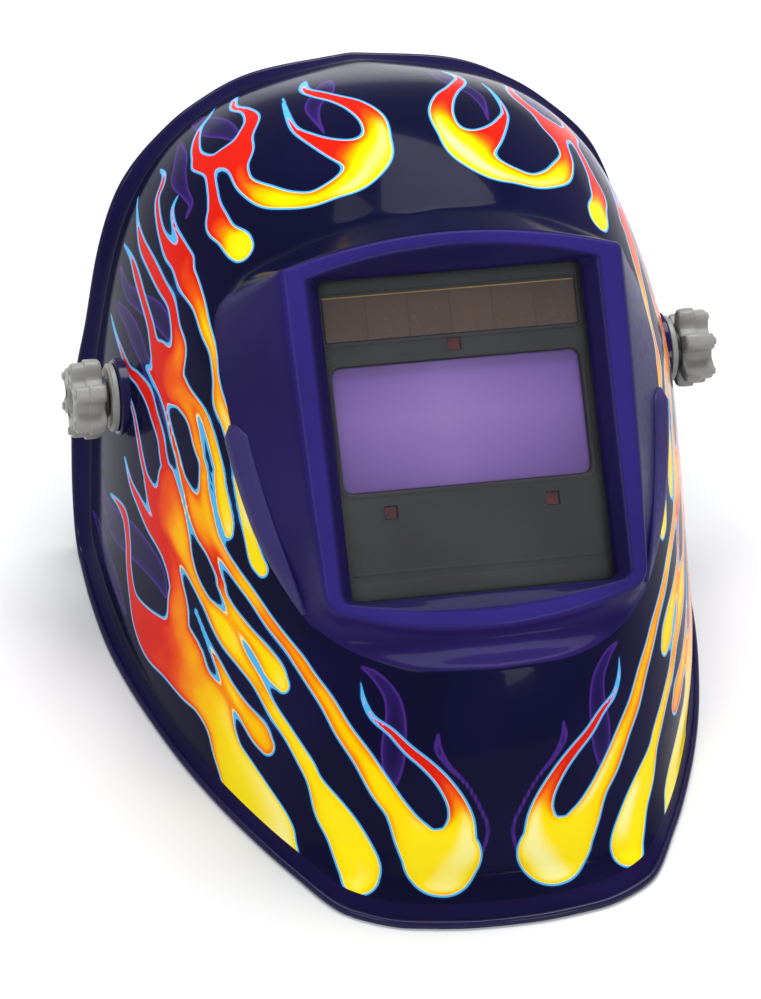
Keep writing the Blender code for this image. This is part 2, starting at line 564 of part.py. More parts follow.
# pivot stacks, from the inside out
DISC_MAT = material("light_grey_plastic", (130, 130, 125), 0.45)
ARM_MAT = material("black_arm_plastic", (36, 36, 38), 0.5)
arm_path = run([(79.9, 47), (79.9, 36), (80.6, 27), (88, 20), (97, 15.5), (101.3, 8), (101.3, 0), (101.3, -12)], 14)
for side, word in ((1, "left"), (-1, "right")):
    turn = TO_LEFT if side > 0 else TO_RIGHT
    rows = [[(side * x, y, z) for x, y in arm_path] for z in (-11.0, 11.0)]
    arm = skin_strip("pivot_arm_" + word, rows, HEAD, 2.8)
    cut(arm, rod("arm_hole_" + word, PIVOT_HOLE, 12, HEAD, (side * 95, 0, 0), turn, group=cutters))
    finish(arm, ARM_MAT)
    finish(turned("pivot_bolt_" + word, [(0, 29.2), (3.6, 29.2), (4.0, 28.6), (4.0, 2.9), (7.5, 2.9), (7.5, 0), (0, 0)], HEAD, (side * 96.6, 0, 0), turn), material("grey_bolt_" + word, (90, 90, 94), 0.4))
    # the stop plate's tab points straight down at rest
    tab_y, tab_z = -math.sin(REST_TILT), -math.cos(REST_TILT)
    base = math.atan2(tab_y, -tab_z if side > 0 else tab_z)
    ring = [(15 * math.cos(q), 15 * math.sin(q)) for q in [base + math.radians(a) for a in range(16, 345, 12)]]
    w = 4.0
    c, s = math.cos(base), math.sin(base)
    ring += [(14.4 * c + w * s, 14.4 * s - w * c), (22 * c + w * s, 22 * s - w * c), (22 * c - w * s, 22 * s + w * c), (14.4 * c - w * s, 14.4 * s + w * c)]
    finish(plate("angle_stop_" + word, [ring, circle(PIVOT_HOLE)], 1.9, HEAD, (side * 103.1, 0, 0), turn), ARM_MAT)
    finish(plate("friction_washer_" + word, [circle(13.0), circle(PIVOT_HOLE)], 1.4, HEAD, (side * 105.3, 0, 0), turn), material("fibre_washer_" + word, (150, 140, 120), 0.9))
    finish(turned("pivot_disc_" + word, [(4.6, 2.8), (12.9, 2.8), (13.7, 2.0), (13.7, 0), (4.6, 0), (4.6, 2.8)], HEAD, (side * 114.5, 0, 0), turn), DISC_MAT)
    star = []
    for i in range(72):
        q = 2 * math.pi * i / 72
        reach = KNOB_R - 3.1 + 3.1 * math.tanh(2.2 * math.cos(6 * q)) / math.tanh(2.2)
        star.append((reach * math.cos(q), reach * math.sin(q)))
    knob = plate("tension_knob_" + word, [star], KNOB_OUT - KNOB_IN, HEAD, (side * KNOB_IN, 0, 0), turn)
    add(knob, rod("knob_hub_" + word, 8.5, 8.0, HEAD, (side * 117.7, 0, 0), turn, group=cutters))
    cut(knob, rod("knob_bore_" + word, 4.35, 12.0, HEAD, (side * 115.5, 0, 0), turn, group=cutters))
    cut(knob, rod("knob_recess_" + word, 5.5, 3.0, HEAD, (side * 131.8, 0, 0), turn, group=cutters))
    finish(knob, DISC_MAT)

# ---------------------------------------------------------------- size ratchet at the nape
RATCHET_MAT = material("black_ratchet_plastic", (36, 36, 38), 0.5)
case = block("ratchet_housing", (46.0, 6.5, 24.0), HEAD, (0, 128.95, RATCHET_Z))
cut(case, block("rack_channel", (60.0, 10.0, 18.8), HEAD, (0, 132.9, RATCHET_Z), group=cutters))
finish(case, RATCHET_MAT)
finish(plate("ratchet_cover", [round_rect(23, 12, 3), circle(3.3)], 2.0, HEAD, (0, 134.5, RATCHET_Z), UP), RATCHET_MAT)


def rack_tail(name, side, y):
    """A tail of the headband with a slot whose upper or lower edge is a rack."""
    plain = -6.6
    slot = [(-14.6, plain), (14.6, plain)]
    tip, root = PITCH_R - 0.8, PITCH_R + 1.1
    slot.append((14.6, root))
    for k in (3, 2, 1, 0, -1, -2, -3):
        x = (k + 0.5) * TOOTH_PITCH
        if abs(x) > 12.5:
            continue
        slot += [(x + 1.26, root), (x + 0.38, tip), (x - 0.38, tip), (x - 1.26, root)]
    slot.append((-14.6, root))
    outline = [(-18.5, -9), (43, -9), (43, 9), (-18.5, 9)]
    if side < 0:
        outline = [(-x, z) for x, z in outline][::-1]
        slot = [(x, -z) for x, z in slot][::-1]
    return plate(name, [outline, slot], 1.6, HEAD, (0, y, RATCHET_Z), UP)


finish(rack_tail("rack_tail_left", 1, 129.8), BAND_MAT)
finish(rack_tail("rack_tail_right", -1, 131.7), BAND_MAT)
gear = []
for i in range(TEETH):
    q = math.pi / 2 + 2 * math.pi * i / TEETH
    for r, a in ((PITCH_R - 1.1, -1.2 / 3.99), (PITCH_R + 0.8, -0.38 / 5.89), (PITCH_R + 0.8, 0.38 / 5.89), (PITCH_R - 1.1, 1.2 / 3.99)):
        gear.append((r * math.cos(q + a), r * math.sin(q + a)))
pinion = plate("ratchet_pinion", [gear], 3.7, HEAD, (0, 131.9, RATCHET_Z), UP)
add(pinion, rod("pinion_shaft", 2.9, 12.6, HEAD, (0, 130.0, RATCHET_Z), BACKWARD, segments=20, group=cutters))
finish(pinion, RATCHET_MAT)
grip = [((16.2 + 0.8 * math.cos(12 * q)) * math.cos(q), (16.2 + 0.8 * math.cos(12 * q)) * math.sin(q)) for q in [2 * math.pi * i / 72 for i in range(72)]]
dial = plate("ratchet_knob", [grip], 11.8, HEAD, (0, 146.7, RATCHET_Z), UP)
cut(dial, rod("ratchet_knob_bore", 3.2, 12.0, HEAD, (0, 130.9, RATCHET_Z), BACKWARD, segments=20, group=cutters))
finish(dial, material("grey_ratchet_knob", (70, 70, 74), 0.45))

# ---------------------------------------------------------------- centre the object over the origin
bpy.context.view_layer.update()
graph = bpy.context.evaluated_depsgraph_get()
lo, hi = 1e9, -1e9
for obj in helmet.objects:
    if obj.type == "MESH":
        shown = obj.evaluated_get(graph)
        mesh = shown.to_mesh()
        for v in mesh.vertices:
            y = (shown.matrix_world @ v.co).y
            lo, hi = min(lo, y), max(hi, y)
        shown.to_mesh_clear()
REST.location.y -= (lo + hi) / 2
bpy.context.view_layer.update()
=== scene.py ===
"""The looks of the welding helmet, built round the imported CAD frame.

Frames, all in millimetres until a mesh is made:
  helmet  origin on the pivot axis, X to the wearer's left, front at -Y, +Z up, as the shell is worn
  window  origin at the centre of the lens opening, Y into the helmet, Z up along the window
  head    the helmet frame turned 18 degrees
"""

import json
import math

import bmesh
import bpy
import numpy as np
from mathutils import Matrix, Vector


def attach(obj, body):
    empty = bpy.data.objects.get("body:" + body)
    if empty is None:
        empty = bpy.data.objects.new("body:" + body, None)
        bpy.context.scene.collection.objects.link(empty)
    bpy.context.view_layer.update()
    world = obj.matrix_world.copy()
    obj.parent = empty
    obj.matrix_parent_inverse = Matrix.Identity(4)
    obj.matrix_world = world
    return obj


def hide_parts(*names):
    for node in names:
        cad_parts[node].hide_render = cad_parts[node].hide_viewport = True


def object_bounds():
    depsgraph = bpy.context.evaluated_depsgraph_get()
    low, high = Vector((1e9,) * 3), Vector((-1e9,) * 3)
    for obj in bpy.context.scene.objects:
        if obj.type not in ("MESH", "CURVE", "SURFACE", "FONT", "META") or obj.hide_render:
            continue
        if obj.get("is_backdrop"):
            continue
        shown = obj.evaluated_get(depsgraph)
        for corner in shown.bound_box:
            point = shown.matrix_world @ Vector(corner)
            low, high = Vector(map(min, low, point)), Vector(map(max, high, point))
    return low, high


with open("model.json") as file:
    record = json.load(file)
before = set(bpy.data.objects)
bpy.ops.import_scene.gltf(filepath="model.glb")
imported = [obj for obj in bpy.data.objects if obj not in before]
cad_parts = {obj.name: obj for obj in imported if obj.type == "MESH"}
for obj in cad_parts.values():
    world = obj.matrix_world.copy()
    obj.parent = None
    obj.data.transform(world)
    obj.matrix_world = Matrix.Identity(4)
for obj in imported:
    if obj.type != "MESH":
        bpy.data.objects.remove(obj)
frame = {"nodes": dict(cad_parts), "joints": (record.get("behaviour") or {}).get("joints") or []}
CAD_BOX = [list(v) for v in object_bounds()]
MM = 0.001
JOINTS = {j["name"]: j for j in frame["joints"]}
_, Y0, Z0 = JOINTS["visor_tilt"]["pos_m"]
SLOPE, LEAN, HEAD_TILT = math.radians(35.9), math.radians(10), math.radians(18)
WIN_Y, WIN_Z = -121.9, -16.0
M_REST = Matrix.Translation((0, Y0, Z0)) @ Matrix.Rotation(-SLOPE, 4, "X")
M_WIN = M_REST @ Matrix.Translation((0, WIN_Y * MM, WIN_Z * MM)) @ Matrix.Rotation(-LEAN, 4, "X")
M_HEAD = M_REST @ Matrix.Rotation(HEAD_TILT, 4, "X")
scene = bpy.context.scene

# ---------------------------------------------------------------- camera and light
cam_data = bpy.data.cameras.new("camera")
camera = bpy.data.objects.new("camera", cam_data)
scene.collection.objects.link(camera)
cam_data.sensor_fit = "VERTICAL"
cam_data.sensor_height = 24.0
cam_data.lens = 24.0 * 6500 / 999
cam_data.clip_start, cam_data.clip_end = 0.05, 30
eye = Vector((-0.5994, -1.9129, 1.7353))
right, up, fwd = Vector((0.9703, -0.2288, 0.0786)), Vector((0.0890, 0.6397, 0.7634)), Vector((0.2250, 0.7337, -0.6411))
turn = Matrix((right.normalized(), up.normalized(), (-fwd).normalized())).transposed()
camera.matrix_world = Matrix.Translation(eye) @ turn.to_4x4()
scene.camera = camera

world = bpy.data.worlds.new("studio")
scene.world = world
world.use_nodes = True
world.node_tree.nodes["Background"].inputs["Color"].default_value = (0.93, 0.95, 1.0, 1)
world.node_tree.nodes["Background"].inputs["Strength"].default_value = 0.52
scene.view_settings.view_transform = "Standard"
scene.view_settings.exposure = 0.10


def lamp(name, at, aim, size, power, tint=(1, 1, 1), height=None):
    data = bpy.data.lights.new(name, "AREA")
    data.shape = "RECTANGLE"
    data.size, data.size_y = size, height or size
    data.energy = power
    data.color = tint
    o = bpy.data.objects.new(name, data)
    scene.collection.objects.link(o)
    o.location = at
    o.rotation_euler = (Vector(aim) - Vector(at)).to_track_quat("-Z", "Y").to_euler()
    return o


lamp("key", (0.55, 0.95, 2.2), (0, 0, 0.08), 1.3, 44)
lamp("fill_left", (-1.5, -1.7, 2.0), (0, 0, 0.1), 0.9, 16, (0.96, 0.97, 1.0))
lamp("front_low", (1.0, -2.4, 1.1), (0, 0, 0.1), 0.7, 13)
lamp("top", (-0.7, 0.7, 2.4), (0, 0, 0.1), 0.9, 14)

floor_mesh = bpy.data.meshes.new("floor")
floor_mesh.from_pydata([(-6, -6, 0), (6, -6, 0), (6, 6, 0), (-6, 6, 0)], [], [(0, 1, 2, 3)])
floor = bpy.data.objects.new("floor", floor_mesh)
scene.collection.objects.link(floor)
floor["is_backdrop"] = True


# ---------------------------------------------------------------- materials
def srgb(r, g, b):
    f = lambda v: (v / 255) / 12.92 if v / 255 <= 0.04045 else ((v / 255 + 0.055) / 1.055) ** 2.4
    return (f(r), f(g), f(b), 1.0)


class Mat:
    """A Principled material and short names for its nodes."""

    def __init__(self, name, colour=None, rough=0.5, metal=0.0, coat=0.0, coat_rough=0.05, spec=0.5, sheen=0.0):
        self.m = bpy.data.materials.new(name)
        self.m.use_nodes = True
        self.t = self.m.node_tree
        self.b = self.t.nodes["Principled BSDF"]
        if colour:
            self.b.inputs["Base Color"].default_value = colour
        self.b.inputs["Roughness"].default_value = rough
        self.b.inputs["Metallic"].default_value = metal
        self.b.inputs["Coat Weight"].default_value = coat
        self.b.inputs["Coat Roughness"].default_value = coat_rough
        self.b.inputs["Specular IOR Level"].default_value = spec
        self.b.inputs["Sheen Weight"].default_value = sheen

    def node(self, kind, **values):
        n = self.t.nodes.new(kind)
        for k, v in values.items():
            if k in n.inputs:
                n.inputs[k].default_value = v
            else:
                setattr(n, k, v)
        return n

    def link(self, a, b):
        self.t.links.new(a, b)

    def coords(self):
        return self.node("ShaderNodeTexCoord").outputs["Object"]

    def noise(self, scale, detail=3.0, rough=0.5, vector=None):
        n = self.node("ShaderNodeTexNoise")
        n.inputs["Scale"].default_value = scale
        n.inputs["Detail"].default_value = detail
        n.inputs["Roughness"].default_value = rough
        self.link(vector or self.coords(), n.inputs["Vector"])
        return n.outputs["Fac"]

    def attr(self, name):
        return self.node("ShaderNodeAttribute", attribute_name=name).outputs["Fac"]

    def math(self, op, a, b=None, c=None, clamp=False):
        n = self.node("ShaderNodeMath", operation=op, use_clamp=clamp)
        for i, v in enumerate((a, b, c)):
            if v is None:
                continue
            if isinstance(v, (int, float)):
                n.inputs[i].default_value = v
            else:
                self.link(v, n.inputs[i])
        return n.outputs[0]

    def span(self, v, lo, hi, out_lo=0.0, out_hi=1.0, smooth=True):
        n = self.node("ShaderNodeMapRange")
        n.interpolation_type = "SMOOTHSTEP" if smooth else "LINEAR"
        n.inputs["From Min"].default_value = lo
        n.inputs["From Max"].default_value = hi
        n.inputs["To Min"].default_value = out_lo
        n.inputs["To Max"].default_value = out_hi
        self.link(v, n.inputs["Value"])
        return n.outputs["Result"]

    def mix(self, fac, a, b):
        n = self.node("ShaderNodeMix", data_type="RGBA")
        for socket, v in ((n.inputs[0], fac), (n.inputs[6], a), (n.inputs[7], b)):
            if isinstance(v, (tuple, int, float)):
                socket.default_value = v
            else:
                self.link(v, socket)
        return n.outputs[2]

    def ramp(self, fac, stops):
        n = self.node("ShaderNodeValToRGB")
        el = n.color_ramp.elements
        el[0].position, el[0].color = stops[0]
        el[1].position, el[1].color = stops[-1]
        for p, col in stops[1:-1]:
            e = el.new(p)
            e.color = col
        self.link(fac, n.inputs["Fac"])
        return n.outputs["Color"]

    def colour(self, socket):
        self.link(socket, self.b.inputs["Base Color"])
        return self

    def rough(self, socket):
        self.link(socket, self.b.inputs["Roughness"])
        return self

    def bump(self, height, strength=0.2, distance=0.0002, also_coat=False):
        n = self.node("ShaderNodeBump")
        n.inputs["Strength"].default_value = strength
        n.inputs["Distance"].default_value = distance
        self.link(height, n.inputs["Height"])
        self.link(n.outputs["Normal"], self.b.inputs["Normal"])
        if also_coat:
            self.link(n.outputs["Normal"], self.b.inputs["Coat Normal"])
        return self


def plastic(name, rgb, rough=0.45, grain=900.0, depth=0.00012, strength=0.25, vary=0.12, coat=0.0, scuff=True, spec=0.32):
    """Moulded plastic: fine grain, a little colour drift, and paler rubbed patches."""
    k = Mat(name, srgb(*rgb), rough, coat=coat, spec=spec)
    base = np.array(srgb(*rgb))
    lo = tuple(float(v) for v in base[:3] * (1 - vary)) + (1.0,)
    hi = tuple(float(min(1, v * (1 + vary) + 0.002)) for v in base[:3]) + (1.0,)
    big = k.noise(28.0, 2.0)
    k.colour(k.mix(k.span(big, 0.3, 0.7), lo, hi))
    fine = k.noise(grain, 2.0, 0.6)
    mid = k.noise(grain / 5, 3.0)
    k.rough(k.math("ADD", k.span(mid, 0.3, 0.7, rough - 0.05, rough + 0.06), k.span(big, 0.4, 0.8, 0.0, 0.05 if scuff else 0.0)))
    k.bump(fine, strength, depth)
    return k.m


k = Mat("studio_floor", (0.79, 0.79, 0.79, 1), 0.75, spec=0.2)
k.colour(k.mix(k.noise(2.0), (0.775, 0.775, 0.78, 1), (0.795, 0.795, 0.795, 1)))
floor.data.materials.append(k.m)

RED, ORANGE, AMBER, YELLOW = srgb(214, 30, 14), srgb(238, 84, 14), srgb(250, 156, 0), srgb(255, 216, 0)
NAVY, NAVY_HI = srgb(13, 13, 42), srgb(19, 17, 54)
BLUE_LINE = srgb(80, 178, 232)
PURPLE_LO, PURPLE_HI = srgb(33, 24, 74), srgb(40, 29, 88)


def shell_paint():
    k = Mat("painted_shell", None, 0.2, coat=0.04, coat_rough=0.03, spec=0.022)
    where = k.coords()
    streak = k.noise(45.0, 3.0, 0.5, where)
    soft = k.noise(14.0, 2.0, 0.5, where)
    fd, heat, lat, ghost, paint, rim = (k.attr(n) for n in ("flame_mm", "flame_heat", "flame_side", "ghost_mm", "paint_mm", "painted_shade_rim_flange"))
    # bare moulding and navy base coat; the bare moulding carries painted light on the frame band and painted shade on
    # the frame's inner slope and the rim flange
    bare = k.mix(k.span(soft, 0.3, 0.7), PURPLE_LO, PURPLE_HI)
    # painted light: the frame band round the lens is made lighter
    bare = k.mix(k.attr("painted_light_frame_band"), bare, k.mix(k.span(soft, 0.3, 0.7), srgb(41, 32, 98), srgb(48, 38, 112)))
    # painted shade: the frame's inner slope is made darker
    bare = k.mix(k.attr("painted_shade_inner_slope"), bare, k.mix(k.span(soft, 0.3, 0.7), srgb(24, 18, 56), srgb(29, 22, 66)))
    # painted shade: the bare moulding on the rim flange is made darker
    bare = k.mix(rim, bare, k.mix(k.span(soft, 0.3, 0.7), srgb(20, 15, 52), srgb(27, 20, 64)))
    navy = k.mix(k.span(soft, 0.35, 0.7), NAVY, NAVY_HI)
    # ghost flames: a shade lighter, with a purple line round them
    inside_ghost = k.span(ghost, 0.5, -0.5)
    body = k.mix(k.span(ghost, 0.0, -4.0), srgb(46, 27, 96), srgb(30, 20, 70))
    navy = k.mix(k.math("MULTIPLY", inside_ghost, 0.85), navy, body)
    line = k.math("MULTIPLY", k.span(ghost, -0.9, -0.1), k.span(ghost, 0.7, 0.1))
    navy = k.mix(k.math("MULTIPLY", line, 0.7), navy, srgb(78, 44, 138))
    # flames: red at the tips and along the upper edge, through orange and yellow, with pale brushed highlights
    edge = k.span(fd, -3.2, -0.4)
    core = k.span(fd, -1.0, -6.0)
    h = k.math("ADD", k.math("MULTIPLY", heat, 0.92), 0.07)
    h = k.math("ADD", h, k.math("MULTIPLY", k.math("SUBTRACT", streak, 0.5), 0.32))
    h = k.math("SUBTRACT", h, k.math("MULTIPLY", lat, 0.13))
    h = k.math("SUBTRACT", h, k.math("MULTIPLY", edge, 0.15))
    h = k.math("ADD", h, k.math("MULTIPLY", k.math("MULTIPLY", core, heat), 0.14), clamp=True)
    fire = k.ramp(h, [(0.0, RED), (0.24, RED), (0.42, ORANGE), (0.58, AMBER), (0.74, YELLOW), (1.0, srgb(255, 228, 20))])
    brush = k.math("MULTIPLY", k.span(lat, -0.62, -0.34), k.span(lat, 0.02, -0.26))
    brush = k.math("MULTIPLY", brush, k.math("MULTIPLY", k.span(fd, -0.9, -2.4), k.span(heat, 0.45, 0.9)))
    patch = k.noise(24.0, 1.0, 0.5, where)
    brush = k.math("MULTIPLY", brush, k.span(patch, 0.36, 0.6))
    fire = k.mix(k.math("MULTIPLY", brush, 0.9), fire, srgb(252, 244, 160))
    shade = k.math("MULTIPLY", k.math("MULTIPLY", k.span(fd, -3.4, -0.6), k.span(lat, -0.35, -0.9)), k.span(heat, 0.5, 0.9))
    fire = k.mix(k.math("MULTIPLY", shade, 0.55), fire, srgb(240, 128, 10))
    halo = k.math("MULTIPLY", k.span(fd, 1.1, 0.35), 0.35)
    col = k.mix(halo, navy, srgb(40, 80, 150))
    col = k.mix(k.span(fd, 0.50, 0.32), col, BLUE_LINE)
    rim_col = k.mix(k.span(heat, 0.1, 0.5), srgb(196, 176, 224), srgb(255, 232, 150))
    col = k.mix(k.span(fd, -0.30, -0.42), col, rim_col)
    col = k.mix(k.span(fd, -0.42, -0.75), col, fire)
    painted = k.span(paint, -0.15, 0.15)
    k.colour(k.mix(painted, bare, col))
    grain = k.noise(1400.0, 2.0)
    wave = k.noise(60.0, 2.0)
    height = k.math("ADD", k.math("MULTIPLY", grain, k.span(paint, 0.15, -0.15, 0.10, 1.0)), k.math("MULTIPLY", wave, 0.25))
    k.bump(height, 0.12, 0.00008)
    k.rough(k.math("ADD", k.span(paint, -0.15, 0.15, 0.30, 0.13), k.span(k.noise(300.0), 0.3, 0.7, -0.02, 0.04)))
    return k.m


PAINT = shell_paint()
PURPLE = plastic("bare_purple_moulding", (25, 19, 62), 0.2, 1400.0, 0.00008, 0.15, 0.08, coat=0.12, spec=0.12)
PURPLE_GRAIN = plastic("grained_purple_rib", (40, 30, 92), 0.5, 700.0, 0.0004, 0.6, 0.15)
INSIDE = plastic("shell_inside", (38, 34, 84), 0.42, 1000.0, 0.0001, 0.2, 0.1)

# ---------------------------------------------------------------- the shell's skin, as in the CAD, at high resolution
STATIONS = [-222, -205, -190, -175, -160, -145, -130, -115, -100, -70, -30, 5, 30, 57, 80, 100, 115, 123, 126.5]
HALF_W = [104, 104, 106, 103, 105, 109, 113, 115.5, 117, 117, 116, 113.8, 110, 104, 95, 79, 56, 33, 3]
FRONT_Y = [-110, -114, -121, -128, -135, -141, -145, -147.5, -149, -152, -152, -143, -127, -106, -87, -66, -42, -18, 28]
SQUARE = [4.0, 3.8, 3.3, 2.75, 2.5, 2.33, 2.22, 2.14, 2.08, 2.02, 2.05, 2.13, 2.15, 2.1, 2.05, 2.05, 2.1, 2.1, 2.1]
BACK_Y = 35.0
CENTRE = np.array([0.0, 30.0, -30.0])
RIM_Y0, RIM_Z0 = 54.8, -73.3
H = (56, 28, 92, 120, 28, 32)
EAR = H[0] + H[1] + H[2]


def smooth(stations, values, q):
    z = np.asarray(stations, float)
    v = np.asarray(values, float)
    h = np.diff(z)
    d = np.diff(v) / h
    m = np.zeros(len(z))
    for i in range(1, len(z) - 1):
        if d[i - 1] * d[i] > 0:
            w1, w2 = 2 * h[i] + h[i - 1], h[i] + 2 * h[i - 1]
            m[i] = (w1 + w2) / (w1 / d[i - 1] + w2 / d[i])
    m[0], m[-1] = d[0], d[-1]
    q = np.clip(np.asarray(q, float), z[0], z[-1])
    i = np.clip(np.searchsorted(z, q, side="right") - 1, 0, len(h) - 1)
    t = (q - z[i]) / h[i]
    t2, t3 = t * t, t * t * t
    return (2 * t3 - 3 * t2 + 1) * v[i] + (t3 - 2 * t2 + t) * h[i] * m[i] + (3 * t2 - 2 * t3) * v[i + 1] + (t3 - t2) * h[i] * m[i + 1]


FINE_Z = np.linspace(STATIONS[0], STATIONS[-1], 700)


def softened(values, passes):
    """The stations' curve with its small waves ironed out."""
    v = smooth(STATIONS, values, FINE_Z)
    ends = v[0], v[-1]
    for _ in range(passes):
        v[1:-1] = (v[:-2] + 2 * v[1:-1] + v[2:]) / 4
        v[0], v[-1] = ends
    return v


FINE_A, FINE_F, FINE_N = softened(HALF_W, 160), softened(FRONT_Y, 160), softened(SQUARE, 200)


def skin(p):
    x, y, z = p[..., 0], p[..., 1], p[..., 2]
    a = np.interp(z, FINE_Z, FINE_A)
    b = BACK_Y - np.interp(z, FINE_Z, FINE_F)
    n = np.interp(z, FINE_Z, FINE_N)
    f = (np.abs(x) / a) ** n + (np.maximum(0, BACK_Y - y) / b) ** n - 1
    return f + np.maximum(0, z - STATIONS[-1]) * 10


def onto_skin(origin, direction, far=400.0):
    near = np.zeros(direction.shape[:-1])
    far = np.full(direction.shape[:-1], far)
    for _ in range(34):
        mid = (near + far) / 2
        inside = skin(origin + direction * mid[..., None]) < 0
        near = np.where(inside, mid, near)
        far = np.where(inside, far, mid)
    return origin + direction * ((near + far) / 2)[..., None]


def from_window(p):
    cc, ss = math.cos(LEAN), math.sin(LEAN)
    p = np.asarray(p, float)
    return np.stack([p[..., 0], p[..., 1] * cc + p[..., 2] * ss + WIN_Y, -p[..., 1] * ss + p[..., 2] * cc + WIN_Z], -1)


def rim_z(y):
    return RIM_Z0 + (y - RIM_Y0) * math.tan(SLOPE)


def catmull(points, fine=24):
    pts = np.asarray(points, float)
    ext = np.vstack([2 * pts[0] - pts[1], pts, 2 * pts[-1] - pts[-2]])
    out = []
    t = np.linspace(0, 1, fine, endpoint=False)[:, None]
    for i in range(1, len(ext) - 2):
        p0, p1, p2, p3 = ext[i - 1], ext[i], ext[i + 1], ext[i + 2]
        out.append(0.5 * (2 * p1 + (p2 - p0) * t + (2 * p0 - 5 * p1 + 4 * p2 - p3) * t * t + (3 * p1 - p0 - 3 * p2 + p3) * t ** 3))
    out.append(pts[-1:])
    return np.vstack(out)


def run(points, count):
    pts = np.asarray(points, float)
    fine = pts if len(pts) == 2 else catmull(pts)
    d = np.concatenate([[0], np.cumsum(np.linalg.norm(np.diff(fine, axis=0), axis=1))])
    q = np.linspace(0, d[-1], count + 1)
    return np.stack([np.interp(q, d, fine[:, k]) for k in range(fine.shape[1])], -1)


def half_loop(parts, steps, joined=False):
    """Points along the parts. Where joined, one smooth line goes through them all, with no kink between parts."""
    if not joined:
        runs = [run(p, n) for p, n in zip(parts, steps)]
        return np.vstack([r if i == 0 else r[1:] for i, r in enumerate(runs)])
    pts, breaks = [tuple(parts[0][0])], [0]
    for p in parts:
        pts += [tuple(q) for q in p[1:]]
        breaks.append(len(pts) - 1)
    fine = catmull(pts)
    d = np.concatenate([[0], np.cumsum(np.linalg.norm(np.diff(fine, axis=0), axis=1))])
    q = [0.0]
    for (a, b), n in zip(zip(breaks, breaks[1:]), steps):
        q += list(np.linspace(d[a * 24], d[b * 24], n + 1)[1:])
    return np.stack([np.interp(q, d, fine[:, k]) for k in range(fine.shape[1])], -1)


def frame_outline(w_top, w_bot, z_top, top_arc, z_bot, bot_arc, r_top, r_bot, y):
    top = lambda x: z_top + top_arc * (1 - (x / w_top) ** 2)
    bot = lambda x: z_bot - bot_arc * (1 - (x / w_bot) ** 2)
    xt, xb = w_top - r_top, w_bot - r_bot
    zt, zb = top(xt), bot(xb)
    zc = z_top - r_top + (zt - z_top) * 0.35
    zd = z_bot + r_bot + (zb - z_bot) * 0.35
    a = [(x, top(x)) for x in np.linspace(0, xt, 17)]
    kk = [(xt + r_top * math.sin(q), zc + (zt - zc) * math.cos(q)) for q in np.linspace(0, math.pi / 2, 9)]
    m = [(xb + r_bot * math.cos(q), zd + (zb - zd) * math.sin(q)) for q in np.linspace(0, math.pi / 2, 9)]
    ear = H[2] / (H[2] + H[3])
    e = (kk[-1][0] * (1 - ear) + m[0][0] * ear, kk[-1][1] * (1 - ear) + m[0][1] * ear)
    b = [(x, bot(x)) for x in np.linspace(xb, 0, 17)]
    pts = half_loop([a, kk, [kk[-1], e], [e, m[0]], m, b], H)
    return from_window(np.stack([pts[:, 0], np.full(len(pts), y), pts[:, 1]], -1))


def soften_columns(a, passes, keep_ends=True):
    a = a.copy()
    for _ in range(passes):
        mid = (a[:-2] + 2 * a[1:-1] + a[2:]) / 4
        a[1:-1] = mid
    return a


def unit(v):
    return v / np.maximum(np.linalg.norm(v, axis=-1, keepdims=True), 1e-9)


